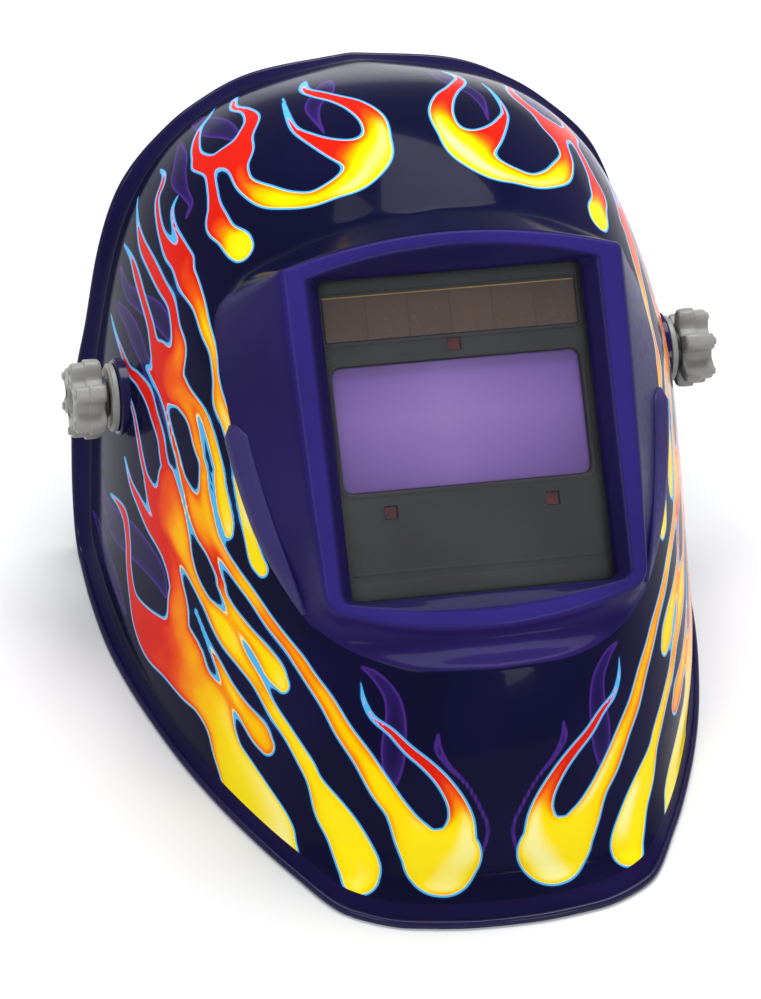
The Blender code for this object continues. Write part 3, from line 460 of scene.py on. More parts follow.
def shell_rows():
    lip = frame_outline(52.5, 52.5, 62.5, 0, -62.5, 0, 3.0, 3.0, 2.8)
    opening = frame_outline(52.5, 52.5, 62.5, 0, -62.5, 0, 3.0, 3.0, 0.0)
    frame_in = frame_outline(58.2, 57.6, 62.8, 9.4, -62.3, 7.2, 1.5, 4.0, -5.0)
    frame_out = frame_outline(67.8, 64.6, 67.3, 9.4, -64.5, 12.3, 1.5, 9.0, -5.0)
    side = run([(85.5, 56), (87, 35), (85, 3), (79, -30), (69.5, -61.6)], H[2] + H[3])
    pts = half_loop([[(0, 88), (35, 84.5), (69.5, 73)], [(69.5, 73), (79, 65.5), (85.5, 56)], [(85.5, 56), (87, 35), (85, 3)], [(85, 3), (79, -30), (69.5, -61.6)],
                     [(69.5, -61.6), (63, -71), (54, -79.5)], [(54, -79.5), (40, -87), (25, -91), (0, -92.5)]], H, joined=True)
    inward = np.array([0, -math.cos(LEAN), math.sin(LEAN)])
    start = from_window(np.stack([pts[:, 0], np.full(len(pts), 110.0), pts[:, 1]], -1))
    crease = onto_skin(start, np.broadcast_to(inward, start.shape), 200)
    on_plane = lambda q: [(x, y, rim_z(y)) for x, y in q]
    arch = [(0, 33, 129), (41, 32, 124), (66, 31, 113.5), (82, 31, 102)]
    shoulder = [(82, 31, 102), (95, 31, 89), (103, 34, 75)]
    cheek = [(103, 34, 75), (109.5, 38, 55), (115, 44, 28), (118.5, 49, 12), (121, 54, -5), (122, 60, -30), (122, 65, -55), (121.5, 66.5, rim_z(66.5))]
    jaw = on_plane([(121.5, 66.5), (122.5, 50), (122.7, 35), (121.5, 14.5), (117.6, -6), (112, -26), (105, -46), (96, -66), (85, -86), (76, -100)])
    turned_in = on_plane([(76, -100), (66, -114.5), (58, -121), (44, -126.8)])
    chin = on_plane([(44, -126.8), (30, -129.3), (15, -130.9), (0, -131.3)])
    upper = half_loop([arch, shoulder, cheek], H[:3], joined=True)
    lower = half_loop([jaw, turned_in, chin], H[3:], joined=True)
    lower[:, 2] = rim_z(lower[:, 1])
    rim = np.vstack([upper, lower[1:]])
    n = len(rim)
    # round the corner behind the jaw
    soft = rim.copy()
    for _ in range(60):
        soft[EAR - 14:EAR + 14] = (soft[EAR - 15:EAR + 13] + soft[EAR - 14:EAR + 14] * 2 + soft[EAR - 13:EAR + 15]) / 4
    soft[EAR:, 2] = np.maximum(soft[EAR:, 2], rim_z(soft[EAR:, 1]))
    rim = soft
    low_n = np.array([0, -math.sin(SLOPE), math.cos(SLOPE)])
    side_n = np.array([0, -math.cos(math.radians(12)), -math.sin(math.radians(12))])
    way = np.zeros((n, 3))
    reach = np.full(n, 8.0)
    for i in range(n):
        if i <= H[0] + H[1] // 2:
            way[i] = (0, -1, 0)
        elif i < EAR:
            way[i] = side_n
        else:
            way[i] = low_n
            reach[i] = 7.0 if i < n - H[5] - H[4] // 2 else 6.0
    way[EAR - 4:EAR + 4] = side_n * 0.75 + low_n * 0.75
    way = soften_columns(way, 60)
    reach = soften_columns(reach, 60)
    d = unit(rim + way * reach[:, None] - CENTRE)
    flare = onto_skin(CENTRE, d)
    d0 = unit(crease - CENTRE)
    w = np.arccos(np.clip((d0 * d).sum(1), -1, 1))[:, None]
    rows = [lip, lip * 0.5 + opening * 0.5, opening]
    rows += [opening * (1 - t) + frame_in * t for t in np.linspace(0, 1, 7)[1:]]
    rows += [frame_in * (1 - t) + frame_out * t for t in np.linspace(0, 1, 8)[1:]]
    first_facet = len(rows)
    frame_in_row = 8
    facet = [frame_out * (1 - t) + crease * t for t in np.linspace(0, 1, 17)[1:]]
    # the hollow under the lens, between the frame's lower edge and the chin
    col = np.zeros(n)
    a = EAR + H[3]
    col[a - 30:] = 1.0
    col = soften_columns(col, 400)
    inwards = np.array([0, math.cos(LEAN), -math.sin(LEAN)])
    for i, t in enumerate(np.linspace(0, 1, 17)[1:]):
        facet[i] = facet[i] + inwards * (col * 5.2 * math.sin(math.pi * t ** 0.8))[:, None]
    rows += facet
    crease_row = len(rows) - 1
    count = 84
    for j in range(1, count):
        t = j / count
        rows.append(onto_skin(CENTRE, (np.sin((1 - t) * w) * d0 + np.sin(t * w) * d) / np.sin(w)))
    rows.append(flare)
    flare_row = len(rows) - 1
    nrm = unit(flare - CENTRE)
    go = rim - flare
    out = (go * nrm).sum(1, keepdims=True) * nrm
    for t in np.linspace(0, 1, 10)[1:]:
        rows.append(flare + (go - out) * t + out * (t * t * (3 - 2 * t) * 0.6 + t * 0.4))
    g = np.array(rows)
    # round the corners between the flats: small radii on the frame, larger on the crease
    def ease(centre, reach_rows, passes):
        lo, hi = max(1, centre - reach_rows), min(len(g) - 1, centre + reach_rows + 1)
        for _ in range(passes):
            g[lo:hi] = (g[lo - 1:hi - 1] + g[lo:hi] * 2 + g[lo + 1:hi + 1]) / 4
    ease(2, 1, 1)
    ease(8, 2, 2)
    ease(first_facet - 1, 2, 2)
    ease(crease_row, 2, 3)
    ease(flare_row, 3, 5)
    g[:, 0, 0] = g[:, -1, 0] = 0.0
    return g, crease_row, flare_row, first_facet - 1, frame_in_row


STROKES = [
    ("u_flame", "flame", [(-52, -132, -108, 0.3, 0), (-51, -132, -115, 1.1, 0), (-48, -133, -122, 1.6, 0.05), (-42, -136, -128, 2.3, 0.1), (-36, -137, -135, 3.1, 0.15), (-29, -138, -142, 3.5, 0.2), (-23, -137, -149, 4.2, 0.3), (-18, -135, -158, 5.2, 0.45), (-16, -131, -166, 6.9, 0.7), (-18, -127, -175, 9.7, 0.95), (-22, -124, -181, 15.5, 1), (-29, -125, -177, 11.0, 0.95), (-35, -127, -169, 8.2, 0.8), (-40, -128, -159, 6.5, 0.75), (-46, -129, -150, 6.5, 0.7), (-52, -128, -138, 5.9, 0.65), (-58, -125, -127, 5.5, 0.62), (-63, -122, -116, 5.0, 0.6), (-68, -117, -106, 4.5, 0.6), (-71, -114, -100, 4.4, 0.6), (-74, -110, -94, 3.8, 0.6), (-79, -103, -85, 4.0, 0.6), (-84, -96, -75, 3.9, 0.65), (-88, -88, -66, 4.2, 0.65), (-92, -82, -58, 4.1, 0.65), (-94, -77, -51, 5.4, 0.65), (-95, -74, -43, 6.5, 0.6), (-96, -74, -34, 5.1, 0.6), (-95, -74, -26, 4.0, 0.6), (-95, -73, -22, 3.3, 0.6), (-96, -71, -16, 4.5, 0.6), (-97, -67, -6, 4.8, 0.55), (-99, -60, 2, 6.6, 0.45), (-101, -52, 9, 9.3, 0.35), (-98, -54, 19, 7.4, 0.4), (-97, -49, 28, 4.8, 0.25), (-97, -42, 38, 4.1, 0.1), (-98, -31, 45, 4.4, 0.05), (-99, -18, 53, 4.5, 0), (-99, -5, 60, 3.7, 0), (-98, 5, 67, 1.8, 0), (-96, 14, 74, 0.9, 0), (-95, 18, 78, 0.4, 0)]),
    ("side_lick_a", "flame", [(-101, -53, 8, 7.6, 0.3), (-103, -42, 16, 8.3, 0.1), (-103, -35, 21, 5.2, 0), (-103, -28, 30, 3.7, 0), (-103, -18, 39, 3.3, 0), (-103, -7, 48, 3.3, 0), (-102, 4, 55, 1.8, 0), (-102, 17, 60, 0.6, 0)]),
    ("side_lick_b", "flame", [(-87, 10, 89, 0.3, 0), (-87, 2, 87, 1.5, 0), (-89, -2, 83, 2.6, 0), (-92, -4, 78, 2.4, 0), (-93, -11, 71, 2.6, 0), (-94, -20, 64, 3.2, 0), (-93, -29, 58, 5.0, 0), (-92, -38, 54, 5.9, 0.1), (-91, -48, 47, 6.9, 0.3), (-89, -59, 38, 5.3, 0.45), (-89, -68, 28, 4.4, 0.65), (-88, -75, 20, 3.4, 0.7), (-89, -80, 10, 2.9, 0.6), (-89, -83, 1, 5.0, 0.55), (-88, -88, -7, 4.8, 0.65), (-86, -91, -17, 3.8, 0.8), (-86, -93, -29, 3.2, 0.9), (-86, -93, -29, 3.7, 0.9), (-85, -95, -40, 4.4, 0.9), (-83, -97, -52, 4.9, 0.95), (-82, -99, -60, 5.5, 1), (-80, -101, -64, 4.9, 1)]),
    ("side_lick_c", "flame", [(-86, -19, 79, 0.4, 0), (-89, -20, 74, 1.3, 0), (-90, -26, 68, 1.6, 0), (-89, -34, 62, 2.4, 0.1), (-89, -44, 54, 4.7, 0.2)]),
    ("side_drip_d", "flame", [(-98, -61, 4, 4.7, 0.5), (-94, -72, -2, 3.3, 0.6), (-93, -78, -10, 3.9, 0.65), (-92, -82, -20, 4.3, 0.7), (-90, -84, -29, 3.9, 0.75), (-91, -83, -27, 4.4, 0.75), (-90, -84, -38, 5.6, 0.8), (-90, -86, -46, 5.3, 0.85), (-89, -86, -50, 4.1, 0.85)]),
    ("side_lick_e", "flame", [(-109, 20, 32, 0.4, 0), (-110, 11, 26, 1.1, 0), (-110, -0, 19, 1.8, 0), (-110, -13, 11, 3.0, 0), (-108, -22, 8, 4.0, 0), (-107, -33, 2, 5.2, 0), (-106, -39, -6, 4.8, 0), (-105, -44, -14, 4.4, 0), (-105, -46, -22, 4.8, 0.05), (-104, -48, -29, 5.2, 0.1), (-105, -48, -29, 6.8, 0.2), (-105, -48, -34, 9.5, 0.3), (-104, -50, -43, 10.9, 0.4), (-103, -54, -52, 9.5, 0.5), (-101, -59, -62, 6.3, 0.55), (-100, -64, -70, 4.4, 0.6), (-97, -70, -78, 4.4, 0.65), (-95, -76, -84, 6.5, 0.7), (-92, -82, -91, 7.1, 0.7), (-88, -89, -100, 5.5, 0.65), (-84, -95, -108, 4.6, 0.65), (-80, -101, -119, 4.3, 0.7), (-76, -107, -129, 4.3, 0.75), (-71, -111, -140, 5.2, 0.8), (-68, -112, -147, 5.3, 0.85), (-64, -114, -158, 8.1, 0.9), (-59, -116, -168, 9.0, 0.95), (-54, -116, -180, 9.5, 0.95), (-54, -117, -185, 8.6, 0.9)]),
    ("side_lick_f", "flame", [(-111, -9, 5, 0.6, 0), (-111, -14, 0, 1.5, 0), (-110, -19, -6, 2.2, 0), (-110, -23, -15, 2.6, 0), (-110, -26, -23, 2.8, 0), (-109, -29, -30, 3.0, 0), (-109, -30, -32, 4.1, 0.05), (-108, -35, -39, 6.8, 0.1), (-106, -44, -46, 8.3, 0.25)]),
    ("side_lick_g", "flame", [(-106, -30, 13, 0.6, 0), (-105, -36, 10, 1.1, 0), (-104, -44, 4, 1.6, 0.1), (-103, -49, -4, 1.9, 0.2), (-102, -53, -13, 2.6, 0.4), (-102, -57, -21, 2.7, 0.5), (-101, -60, -29, 2.9, 0.5), (-100, -62, -33, 4.0, 0.5), (-98, -67, -42, 6.7, 0.5), (-96, -71, -50, 7.1, 0.45), (-95, -75, -58, 4.4, 0.3), (-93, -79, -67, 2.7, 0.3), (-92, -81, -71, 1.2, 0.3)]),
    ("low_flame", "flame", [(-116, 15, -40, 0.7, 0), (-115, 4, -43, 2.3, 0), (-114, -4, -48, 4.5, 0), (-114, -6, -57, 4.3, 0), (-114, -5, -68, 4.5, 0), (-114, -7, -79, 5.7, 0.05), (-113, -12, -87, 8.6, 0.1), (-112, -23, -94, 11.8, 0.15), (-108, -38, -99, 13.1, 0.2), (-104, -52, -106, 13.8, 0.35), (-100, -62, -113, 11.9, 0.5), (-97, -70, -121, 12.2, 0.6), (-95, -72, -130, 11.1, 0.65), (-93, -73, -139, 12.2, 0.75), (-90, -77, -149, 14.2, 0.9), (-86, -83, -157, 13.2, 1), (-80, -91, -166, 10.1, 1), (-76, -97, -173, 5.0, 1), (-74, -101, -179, 0.7, 1)]),
    ("low_lick", "flame", [(-113, -7, -24, 0.9, 0), (-112, -13, -34, 2.7, 0), (-111, -21, -41, 4.1, 0), (-110, -30, -49, 5.0, 0), (-107, -40, -56, 5.9, 0.05), (-105, -47, -64, 6.8, 0.15), (-104, -50, -74, 7.3, 0.3), (-105, -50, -82, 9.5, 0.4), (-105, -50, -92, 10.3, 0.4), (-103, -55, -103, 13.6, 0.45)]),
    ("low_drip_h", "flame", [(-100, -63, -82, 0.8, 0.3), (-97, -70, -94, 1.4, 0.4), (-95, -76, -103, 3.2, 0.6), (-92, -81, -112, 4.8, 0.65), (-89, -87, -120, 5.8, 0.6), (-85, -93, -128, 7.2, 0.55), (-83, -96, -133, 6.1, 0.5)]),
    ("low_drip_i", "flame", [(-93, -79, -71, 1.4, 0.6), (-90, -85, -81, 3.7, 0.65), (-86, -92, -89, 4.6, 0.7), (-82, -99, -97, 5.8, 0.75), (-79, -104, -104, 6.5, 0.8), (-77, -107, -109, 4.9, 0.8)]),
    ("top_swirl", "flame", [(-24, 5, 124, 0.8, 0), (-30, -10, 121, 3.0, 0), (-32, -21, 118, 3.5, 0), (-29, -30, 116, 4.2, 0), (-24, -39, 114, 4.3, 0), (-18, -48, 110, 5.6, 0.15), (-14, -58, 104, 6.6, 0.5), (-15, -68, 97, 6.9, 0.8), (-19, -75, 89, 7.9, 1), (-27, -79, 83, 7.9, 0.85), (-36, -79, 79, 6.1, 0.7), (-45, -77, 76, 5.2, 0.7), (-53, -71, 76, 5.7, 0.7), (-60, -63, 78, 6.5, 0.65), (-65, -52, 82, 5.3, 0.45), (-66, -44, 88, 5.8, 0.2), (-64, -36, 94, 7.1, 0), (-60, -30, 101, 6.0, 0), (-55, -23, 107, 5.1, 0), (-55, -12, 111, 3.2, 0), (-57, 0, 112, 2.6, 0), (-54, 12, 115, 2.0, 0), (-52, 14, 116, 0.8, 0)]),
    ("top_lick", "flame", [(-41, -19, 115, 0.4, 0), (-43, -34, 109, 1.4, 0), (-43, -46, 103, 2.2, 0), (-39, -55, 99, 3.8, 0), (-33, -63, 95, 6.0, 0.1), (-27, -69, 93, 8.0, 0.4), (-21, -72, 92, 9.5, 0.8)]),
    ("top_drop", "flame", [(-60, 20, 113, 0.5, 0), (-65, 11, 109, 1.0, 0), (-71, 4, 104, 2.0, 0), (-75, -7, 97, 3.5, 0), (-77, -19, 92, 3.9, 0), (-75, -29, 88, 3.6, 0), (-76, -38, 81, 3.8, 0), (-77, -44, 75, 4.8, 0), (-78, -50, 69, 7.0, 0.2), (-76, -58, 64, 6.4, 0.55), (-73, -65, 60, 7.5, 0.95), (-72, -68, 58, 7.0, 1)]),
    ("top_join", "flame", [(-77, -19, 92, 4.3, 0), (-73, -26, 92, 5.2, 0), (-68, -31, 94, 7.4, 0), (-64, -37, 94, 7.1, 0)]),
    ("ghost_a", "ghost", [(-51, -132, -102, 0.3, 0), (-46, -135, -106, 1.7, 0), (-41, -137, -114, 2.9, 0), (-40, -137, -123, 3.8, 0), (-41, -135, -133, 4.6, 0), (-42, -134, -142, 3.8, 0), (-41, -132, -149, 0.6, 0)]),
    ("ghost_b", "ghost", [(-25, -142, -130, 0.3, 0), (-25, -141, -136, 1.2, 0), (-21, -140, -143, 0.7, 0), (-14, -138, -151, 0.4, 0), (-8, -134, -162, 0.4, 0), (-5, -130, -171, 0.4, 0), (-8, -124, -183, 0.3, 0)]),
    ("ghost_c", "ghost", [(-116, 28, -34, 0.7, 0), (-116, 26, -43, 3.6, 0), (-116, 13, -51, 6.4, 0), (-114, -8, -56, 7.3, 0), (-111, -24, -62, 6.4, 0), (-108, -36, -69, 5.0, 0), (-107, -41, -77, 1.1, 0)]),
    ("ghost_d", "ghost", [(-117, 51, -50, 0.7, 0), (-117, 37, -57, 3.2, 0), (-117, 28, -66, 4.5, 0), (-116, 16, -75, 4.1, 0), (-115, 4, -87, 1.1, 0)]),
    ("ghost_e", "ghost", [(-78, 9, 98, 1.1, 0), (-81, -4, 92, 3.7, 0), (-84, -12, 86, 4.2, 0), (-84, -23, 80, 1.9, 0), (-84, -31, 76, 1.2, 0), (-86, -32, 71, 0.6, 0)]),
    ("ghost_f", "ghost", [(-105, 15, 51, 0.6, 0), (-105, 1, 42, 2.6, 0), (-104, -16, 38, 3.6, 0), (-101, -32, 34, 4.4, 0), (-99, -43, 28, 3.2, 0), (-99, -46, 24, 0.8, 0)]),
    ("ghost_g", "ghost", [(-108, 10, 36, 1.5, 0), (-107, -6, 30, 3.3, 0), (-107, -18, 23, 4.0, 0), (-106, -27, 16, 3.0, 0), (-106, -34, 10, 3.7, 0), (-104, -44, 2, 2.9, 0), (-104, -49, -8, 0.9, 0)]),
    ("ghost_h", "ghost", [(-21, -15, 122, 2.0, 0), (-27, -30, 116, 4.3, 0), (-33, -38, 111, 3.2, 0), (-34, -48, 105, 1.2, 0), (-33, -56, 100, 0.5, 0)]),
    ("ghost_i", "ghost", [(-69, 16, 107, 3.0, 0), (-67, -4, 105, 5.2, 0), (-64, -19, 103, 3.5, 0), (-62, -30, 99, 0.6, 0)]),
]
G, CREASE, FLARE, FRAME_OUT, FRAME_IN = shell_rows()


# ---------------------------------------------------------------- mesh helpers
def to_object(name, points, faces, matrix=M_REST, smooth_faces=True):
    """An object whose mesh is already in the row frame, in metres."""
    mesh = bpy.data.meshes.new(name)
    m = np.array(matrix)
    p = np.asarray(points, float) * MM
    p = p @ m[:3, :3].T + m[:3, 3]
    mesh.from_pydata(p.tolist(), [], [tuple(int(i) for i in f) for f in faces])
    mesh.update()
    o = bpy.data.objects.new(name, mesh)
    scene.collection.objects.link(o)
    if smooth_faces:
        mesh.polygons.foreach_set("use_smooth", [True] * len(mesh.polygons))
    return o


def apply(o):
    """Bakes every modifier into the mesh."""
    bpy.context.view_layer.update()
    graph = bpy.context.evaluated_depsgraph_get()
    mesh = bpy.data.meshes.new_from_object(o.evaluated_get(graph), preserve_all_data_layers=True, depsgraph=graph)
    o.modifiers.clear()
    old, o.data = o.data, mesh
    bpy.data.meshes.remove(old)
    return o


def mirror_x(o):
    m = o.modifiers.new("Mirror", "MIRROR")
    m.use_axis[0] = True
    m.merge_threshold = 1e-5
    return apply(o)


def sharp(o, degrees=40):
    o.data.set_sharp_from_angle(angle=math.radians(degrees))
    return o


def paint_with(o, mat):
    o.data.materials.clear()
    o.data.materials.append(mat)
    return o


def tube(name, line, radius, mat, matrix=M_REST, sides=12, closed=False, flat=None):
    """A round bar along a line. radius is one number or one for each point."""
    p = np.asarray(line, float)
    n = len(p)
    r = np.broadcast_to(np.asarray(radius, float), (n,))
    t = np.roll(p, -1, 0) - np.roll(p, 1, 0) if closed else np.gradient(p, axis=0)
    t = unit(t)
    ref = np.array([0.0, 0.3, 1.0])
    nrm = unit(np.cross(t[0], ref))
    pts = []
    for i in range(n):
        nrm = unit(nrm - (nrm @ t[i]) * t[i])
        bi = np.cross(t[i], nrm)
        for k in range(sides):
            q = 2 * math.pi * k / sides
            pts.append(p[i] + r[i] * (math.cos(q) * nrm + math.sin(q) * bi))
    faces = []
    for i in range(n if closed else n - 1):
        j = (i + 1) % n
        for k in range(sides):
            l = (k + 1) % sides
            faces.append((i * sides + k, i * sides + l, j * sides + l, j * sides + k))
    if not closed:
        faces.append(tuple(range(sides))[::-1])
        faces.append(tuple((n - 1) * sides + k for k in range(sides)))
    return paint_with(to_object(name, pts, faces, matrix), mat)


def both(line):
    """A line from the middle at x 0 to the middle again, and its mirror image, as one closed loop."""
    p = np.asarray(line, float)
    q = p[1:-1][::-1] * np.array([-1, 1, 1])
    return np.vstack([p, q])


def round_rect(half_w, half_h, radius, steps=6, centre=(0, 0)):
    pts = []
    for sx, sz, a in ((1, 1, 0), (-1, 1, 90), (-1, -1, 180), (1, -1, 270)):
        for i in range(steps + 1):
            q = math.radians(a + 90 * i / steps)
            pts.append((centre[0] + sx * (half_w - radius) + radius * math.cos(q), centre[1] + sz * (half_h - radius) + radius * math.sin(q)))
    return pts


def circle(radius, count=48, centre=(0, 0)):
    return [(centre[0] + radius * math.cos(2 * math.pi * i / count), centre[1] + radius * math.sin(2 * math.pi * i / count)) for i in range(count)]


def ring_plate(name, outer, inner, y0, y1, mat, bevel=0.35, matrix=M_WIN, segments=2):
    """A flat ring in the window's plane from y0 to y1. Both outlines have the same number of points."""
    a, b = np.asarray(outer, float), np.asarray(inner, float)
    n = len(a)
    pts = []
    for loop, y in ((a, y0), (b, y0), (b, y1), (a, y1)):
        pts += [(x, y, z) for x, z in loop]
    faces = []
    for k in range(4):
        for i in range(n):
            j = (i + 1) % n
            faces.append((k * n + i, k * n + j, ((k + 1) % 4) * n + j, ((k + 1) % 4) * n + i))
    o = to_object(name, pts, faces, matrix)
    fix_normals(o)
    if bevel:
        m = o.modifiers.new("Bevel", "BEVEL")
        m.width, m.segments, m.limit_method, m.angle_limit = bevel * MM, segments, "ANGLE", math.radians(40)
        apply(o)
    return paint_with(sharp(o), mat)


def fix_normals(o):
    bm = bmesh.new()
    bm.from_mesh(o.data)
    bmesh.ops.recalc_face_normals(bm, faces=bm.faces)
    bm.to_mesh(o.data)
    bm.free()


def lathe(name, profile, mat, matrix, steps=64, shape=None, sharp_at=35):
    """A turned piece about the matrix's Z axis. shape(angle, radius, z) may move a point outwards."""
    pts, faces = [], []
    m = len(profile)
    for i in range(steps):
        q = 2 * math.pi * i / steps
        for r, z in profile:
            rr, zz = (r, z) if shape is None else shape(q, r, z)
            pts.append((rr * math.cos(q), rr * math.sin(q), zz))
    for i in range(steps):
        j = (i + 1) % steps
        for k in range(m - 1):
            faces.append((i * m + k, j * m + k, j * m + k + 1, i * m + k + 1))
    o = to_object(name, pts, faces, matrix)
    bm = bmesh.new()
    bm.from_mesh(o.data)
    bmesh.ops.remove_doubles(bm, verts=bm.verts, dist=2e-6)
    bmesh.ops.dissolve_degenerate(bm, edges=bm.edges, dist=1e-7)
    bmesh.ops.recalc_face_normals(bm, faces=bm.faces)
    bm.to_mesh(o.data)
    bm.free()
    o.data.polygons.foreach_set("use_smooth", [True] * len(o.data.polygons))
    return paint_with(sharp(o, sharp_at), mat)


def box_piece(name, size, at, mat, matrix, bevel=0.5, turn=None, segments=3):
    """A block with rounded edges, whose faces are shaded flat between them."""
    sx, sy, sz = (v / 2 for v in size)
    m = matrix @ Matrix.Translation(Vector(at) * MM)
    if turn is not None:
        m = m @ turn
    pts = [(x * sx, y * sy, z * sz) for x in (-1, 1) for y in (-1, 1) for z in (-1, 1)]
    faces = [(0, 1, 3, 2), (4, 6, 7, 5), (0, 4, 5, 1), (2, 3, 7, 6), (0, 2, 6, 4), (1, 5, 7, 3)]
    o = to_object(name, pts, faces, m)
    b = o.modifiers.new("Bevel", "BEVEL")
    b.width, b.segments, b.limit_method = bevel * MM, segments, "NONE"
    apply(o)
    o.data.polygons.foreach_set("use_smooth", [True] * len(o.data.polygons))
    return paint_with(sharp(o, 50), mat)


def join(name, *objects):
    """One mesh from several, keeping their materials."""
    bm = bmesh.new()
    mats, mesh = [], bpy.data.meshes.new(name)
    for o in objects:
        start = len(bm.faces)
        bm.from_mesh(o.data)
        bm.faces.ensure_lookup_table()
        base = len(mats)
        for f in bm.faces[start:]:
            f.material_index = base + f.material_index
        mats += [slot.material for slot in o.material_slots] or [None]
    bm.to_mesh(mesh)
    bm.free()
    for m in mats:
        mesh.materials.append(m)
    out = bpy.data.objects.new(name, mesh)
    scene.collection.objects.link(out)
    for o in objects:
        data = o.data
        bpy.data.objects.remove(o)
        bpy.data.meshes.remove(data)
    return out


def cut_out(o, cutter, solver="EXACT"):
    m = o.modifiers.new("cut", "BOOLEAN")
    m.operation, m.object, m.solver = "DIFFERENCE", cutter, solver
    apply(o)
    data = cutter.data
    bpy.data.objects.remove(cutter)
    bpy.data.meshes.remove(data)
    return o


def stand_for(o, body, slot, *nodes):
    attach(o, body)
    if nodes:
        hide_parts(*nodes)
    return o


# ---------------------------------------------------------------- the shell
def grid_faces(rows, cols):
    i = np.arange(rows - 1)[:, None] * cols + np.arange(cols - 1)[None, :]
    i = i.ravel()
    return np.stack([i, i + cols, i + cols + 1, i + 1], -1)


def densify(stroke, step=1.2):
    p = np.asarray(stroke, float)
    fine = catmull(p, 16)
    d = np.concatenate([[0], np.cumsum(np.linalg.norm(np.diff(fine[:, :3], axis=0), axis=1))])
    n = max(2, int(d[-1] / step))
    q = np.linspace(0, d[-1], n + 1)
    return np.stack([np.interp(q, d, fine[:, k]) for k in range(fine.shape[1])], -1)


BACK_UP = unit(np.array([-0.55, 0.6, 0.6]))


def distances(points, strokes, blend=5.5):
    """Signed distance to the strokes, run together softly; the nearest one's heat; and how far the point is to its upper, rear edge."""
    total = np.full(len(points), 60.0)
    nearest = np.full(len(points), 60.0)
    heat = np.zeros(len(points))
    side = np.zeros(len(points))
    for _, kind, pts in strokes:
        c = densify(pts)
        slim = np.clip((8.5 - c[:, 3]) / 4.0, 0, 1)
        if kind == "flame":
            c[:, 3] -= slim * (0.30 * c[:, 3] + 0.1) + (1 - slim) * 1.1
        lo, hi = c[:, :3].min(0) - 18, c[:, :3].max(0) + 18
        near = np.nonzero(((points > lo) & (points < hi)).all(1))[0]
        if not len(near):
            continue
        q = points[near]
        d = np.full(len(q), 60.0)
        hh = np.zeros(len(q))
        ss = np.zeros(len(q))
        for a in range(0, len(c) - 1):
            p0, p1 = c[a, :3], c[a + 1, :3]
            seg = p1 - p0
            t = np.clip(((q - p0) @ seg) / max(seg @ seg, 1e-9), 0, 1)
            away = q - (p0 + t[:, None] * seg)
            r = c[a, 3] * (1 - t) + c[a + 1, 3] * t
            e = np.linalg.norm(away, axis=1) - r
            take = e < d
            d = np.where(take, e, d)
            hh = np.where(take, c[a, 4] * (1 - t) + c[a + 1, 4] * t, hh)
            ss = np.where(take, np.clip((away @ BACK_UP) / np.maximum(r, 0.8), -1, 1), ss)
        old = total[near]
        h = np.maximum(blend - np.abs(old - d), 0) / blend
        total[near] = np.minimum(old, d) - h * h * blend / 4
        take = d < nearest[near]
        nearest[near] = np.where(take, d, nearest[near])
        heat[near] = np.where(take, hh, heat[near])
        side[near] = np.where(take, ss, side[near])
    return total, heat, side


def grid_values(grid):
    """Paint values for the half grid, then mirrored: flame distances by position, the paint edge by row, and the rows
    where the bare moulding gets painted shade and painted light.
    """
    rows, cols = grid.shape[:2]
    p = grid.reshape(-1, 3).copy()
    p[:, 0] = -np.abs(p[:, 0])
    fd, heat, side = distances(p, [s for s in STROKES if s[1] == "flame"])
    gd, _, _ = distances(p, [s for s in STROKES if s[1] == "ghost"], 2.0)
    step = np.zeros((rows, cols))
    step[1:] = np.linalg.norm(np.diff(grid, axis=0), axis=2)
    along = np.cumsum(step, axis=0)
    col = np.arange(cols)
    near_chin = np.clip((col - (EAR + H[3] * 0.55)) / 60.0, 0, 1)
    near_top = np.clip((H[0] + 20 - col) / 40.0, 0, 1)
    from_crease = along - (along[CREASE] + 0.8 + 0.0 * near_top)[None, :]
    to_rim = (along[-1] - (8.2 + 2.0 * near_chin - 1.0 * near_top))[None, :] - along
    paint = np.minimum(from_crease, to_rim)
    # the paint also covers the facet over the lens, up to the frame and down the line of its corner
    over = np.minimum(along - (along[FRAME_OUT] + 0.7)[None, :], ((H[0] + H[1] * 0.55 - col) * 0.75)[None, :])
    paint = np.where(np.arange(rows)[:, None] <= CREASE, np.maximum(paint, over), paint)
    upper = (H[0] + H[1] * 0.55 - col)[None, :] > 0
    paint = np.where(upper & (np.arange(rows)[:, None] > FRAME_OUT), np.minimum(np.maximum(paint, over), to_rim), paint)
    # the rows out towards the rim, where the shader paints the bare moulding darker as painted shade
    low = np.broadcast_to(np.clip((np.arange(rows)[:, None] - CREASE - 6) / 12.0, 0, 1), paint.shape)
    heat, side = heat.reshape(rows, cols), side.reshape(rows, cols)
    for turns, a in ((26, heat), (40, side)):
        for _ in range(turns):
            a[1:-1, 1:-1] = (a[:-2, 1:-1] + a[2:, 1:-1] + a[1:-1, :-2] + a[1:-1, 2:] + 4 * a[1:-1, 1:-1]) / 8
        row = np.arange(rows)[:, None] + 0 * col[None, :]
    # the frame's inner slope, which the shader paints darker as painted shade
    inner = np.clip((FRAME_IN + 0.5 - row) / 1.0, 0, 1)
    # the frame band, which the shader paints lighter as painted light
    band = np.clip((row - FRAME_IN) / 1.0 + 0.5, 0, 1) * np.clip((FRAME_OUT - row) / 1.0 + 0.5, 0, 1)
    return fd, heat.ravel(), side.ravel(), gd, paint.ravel(), low.ravel(), inner.ravel(), band.ravel()


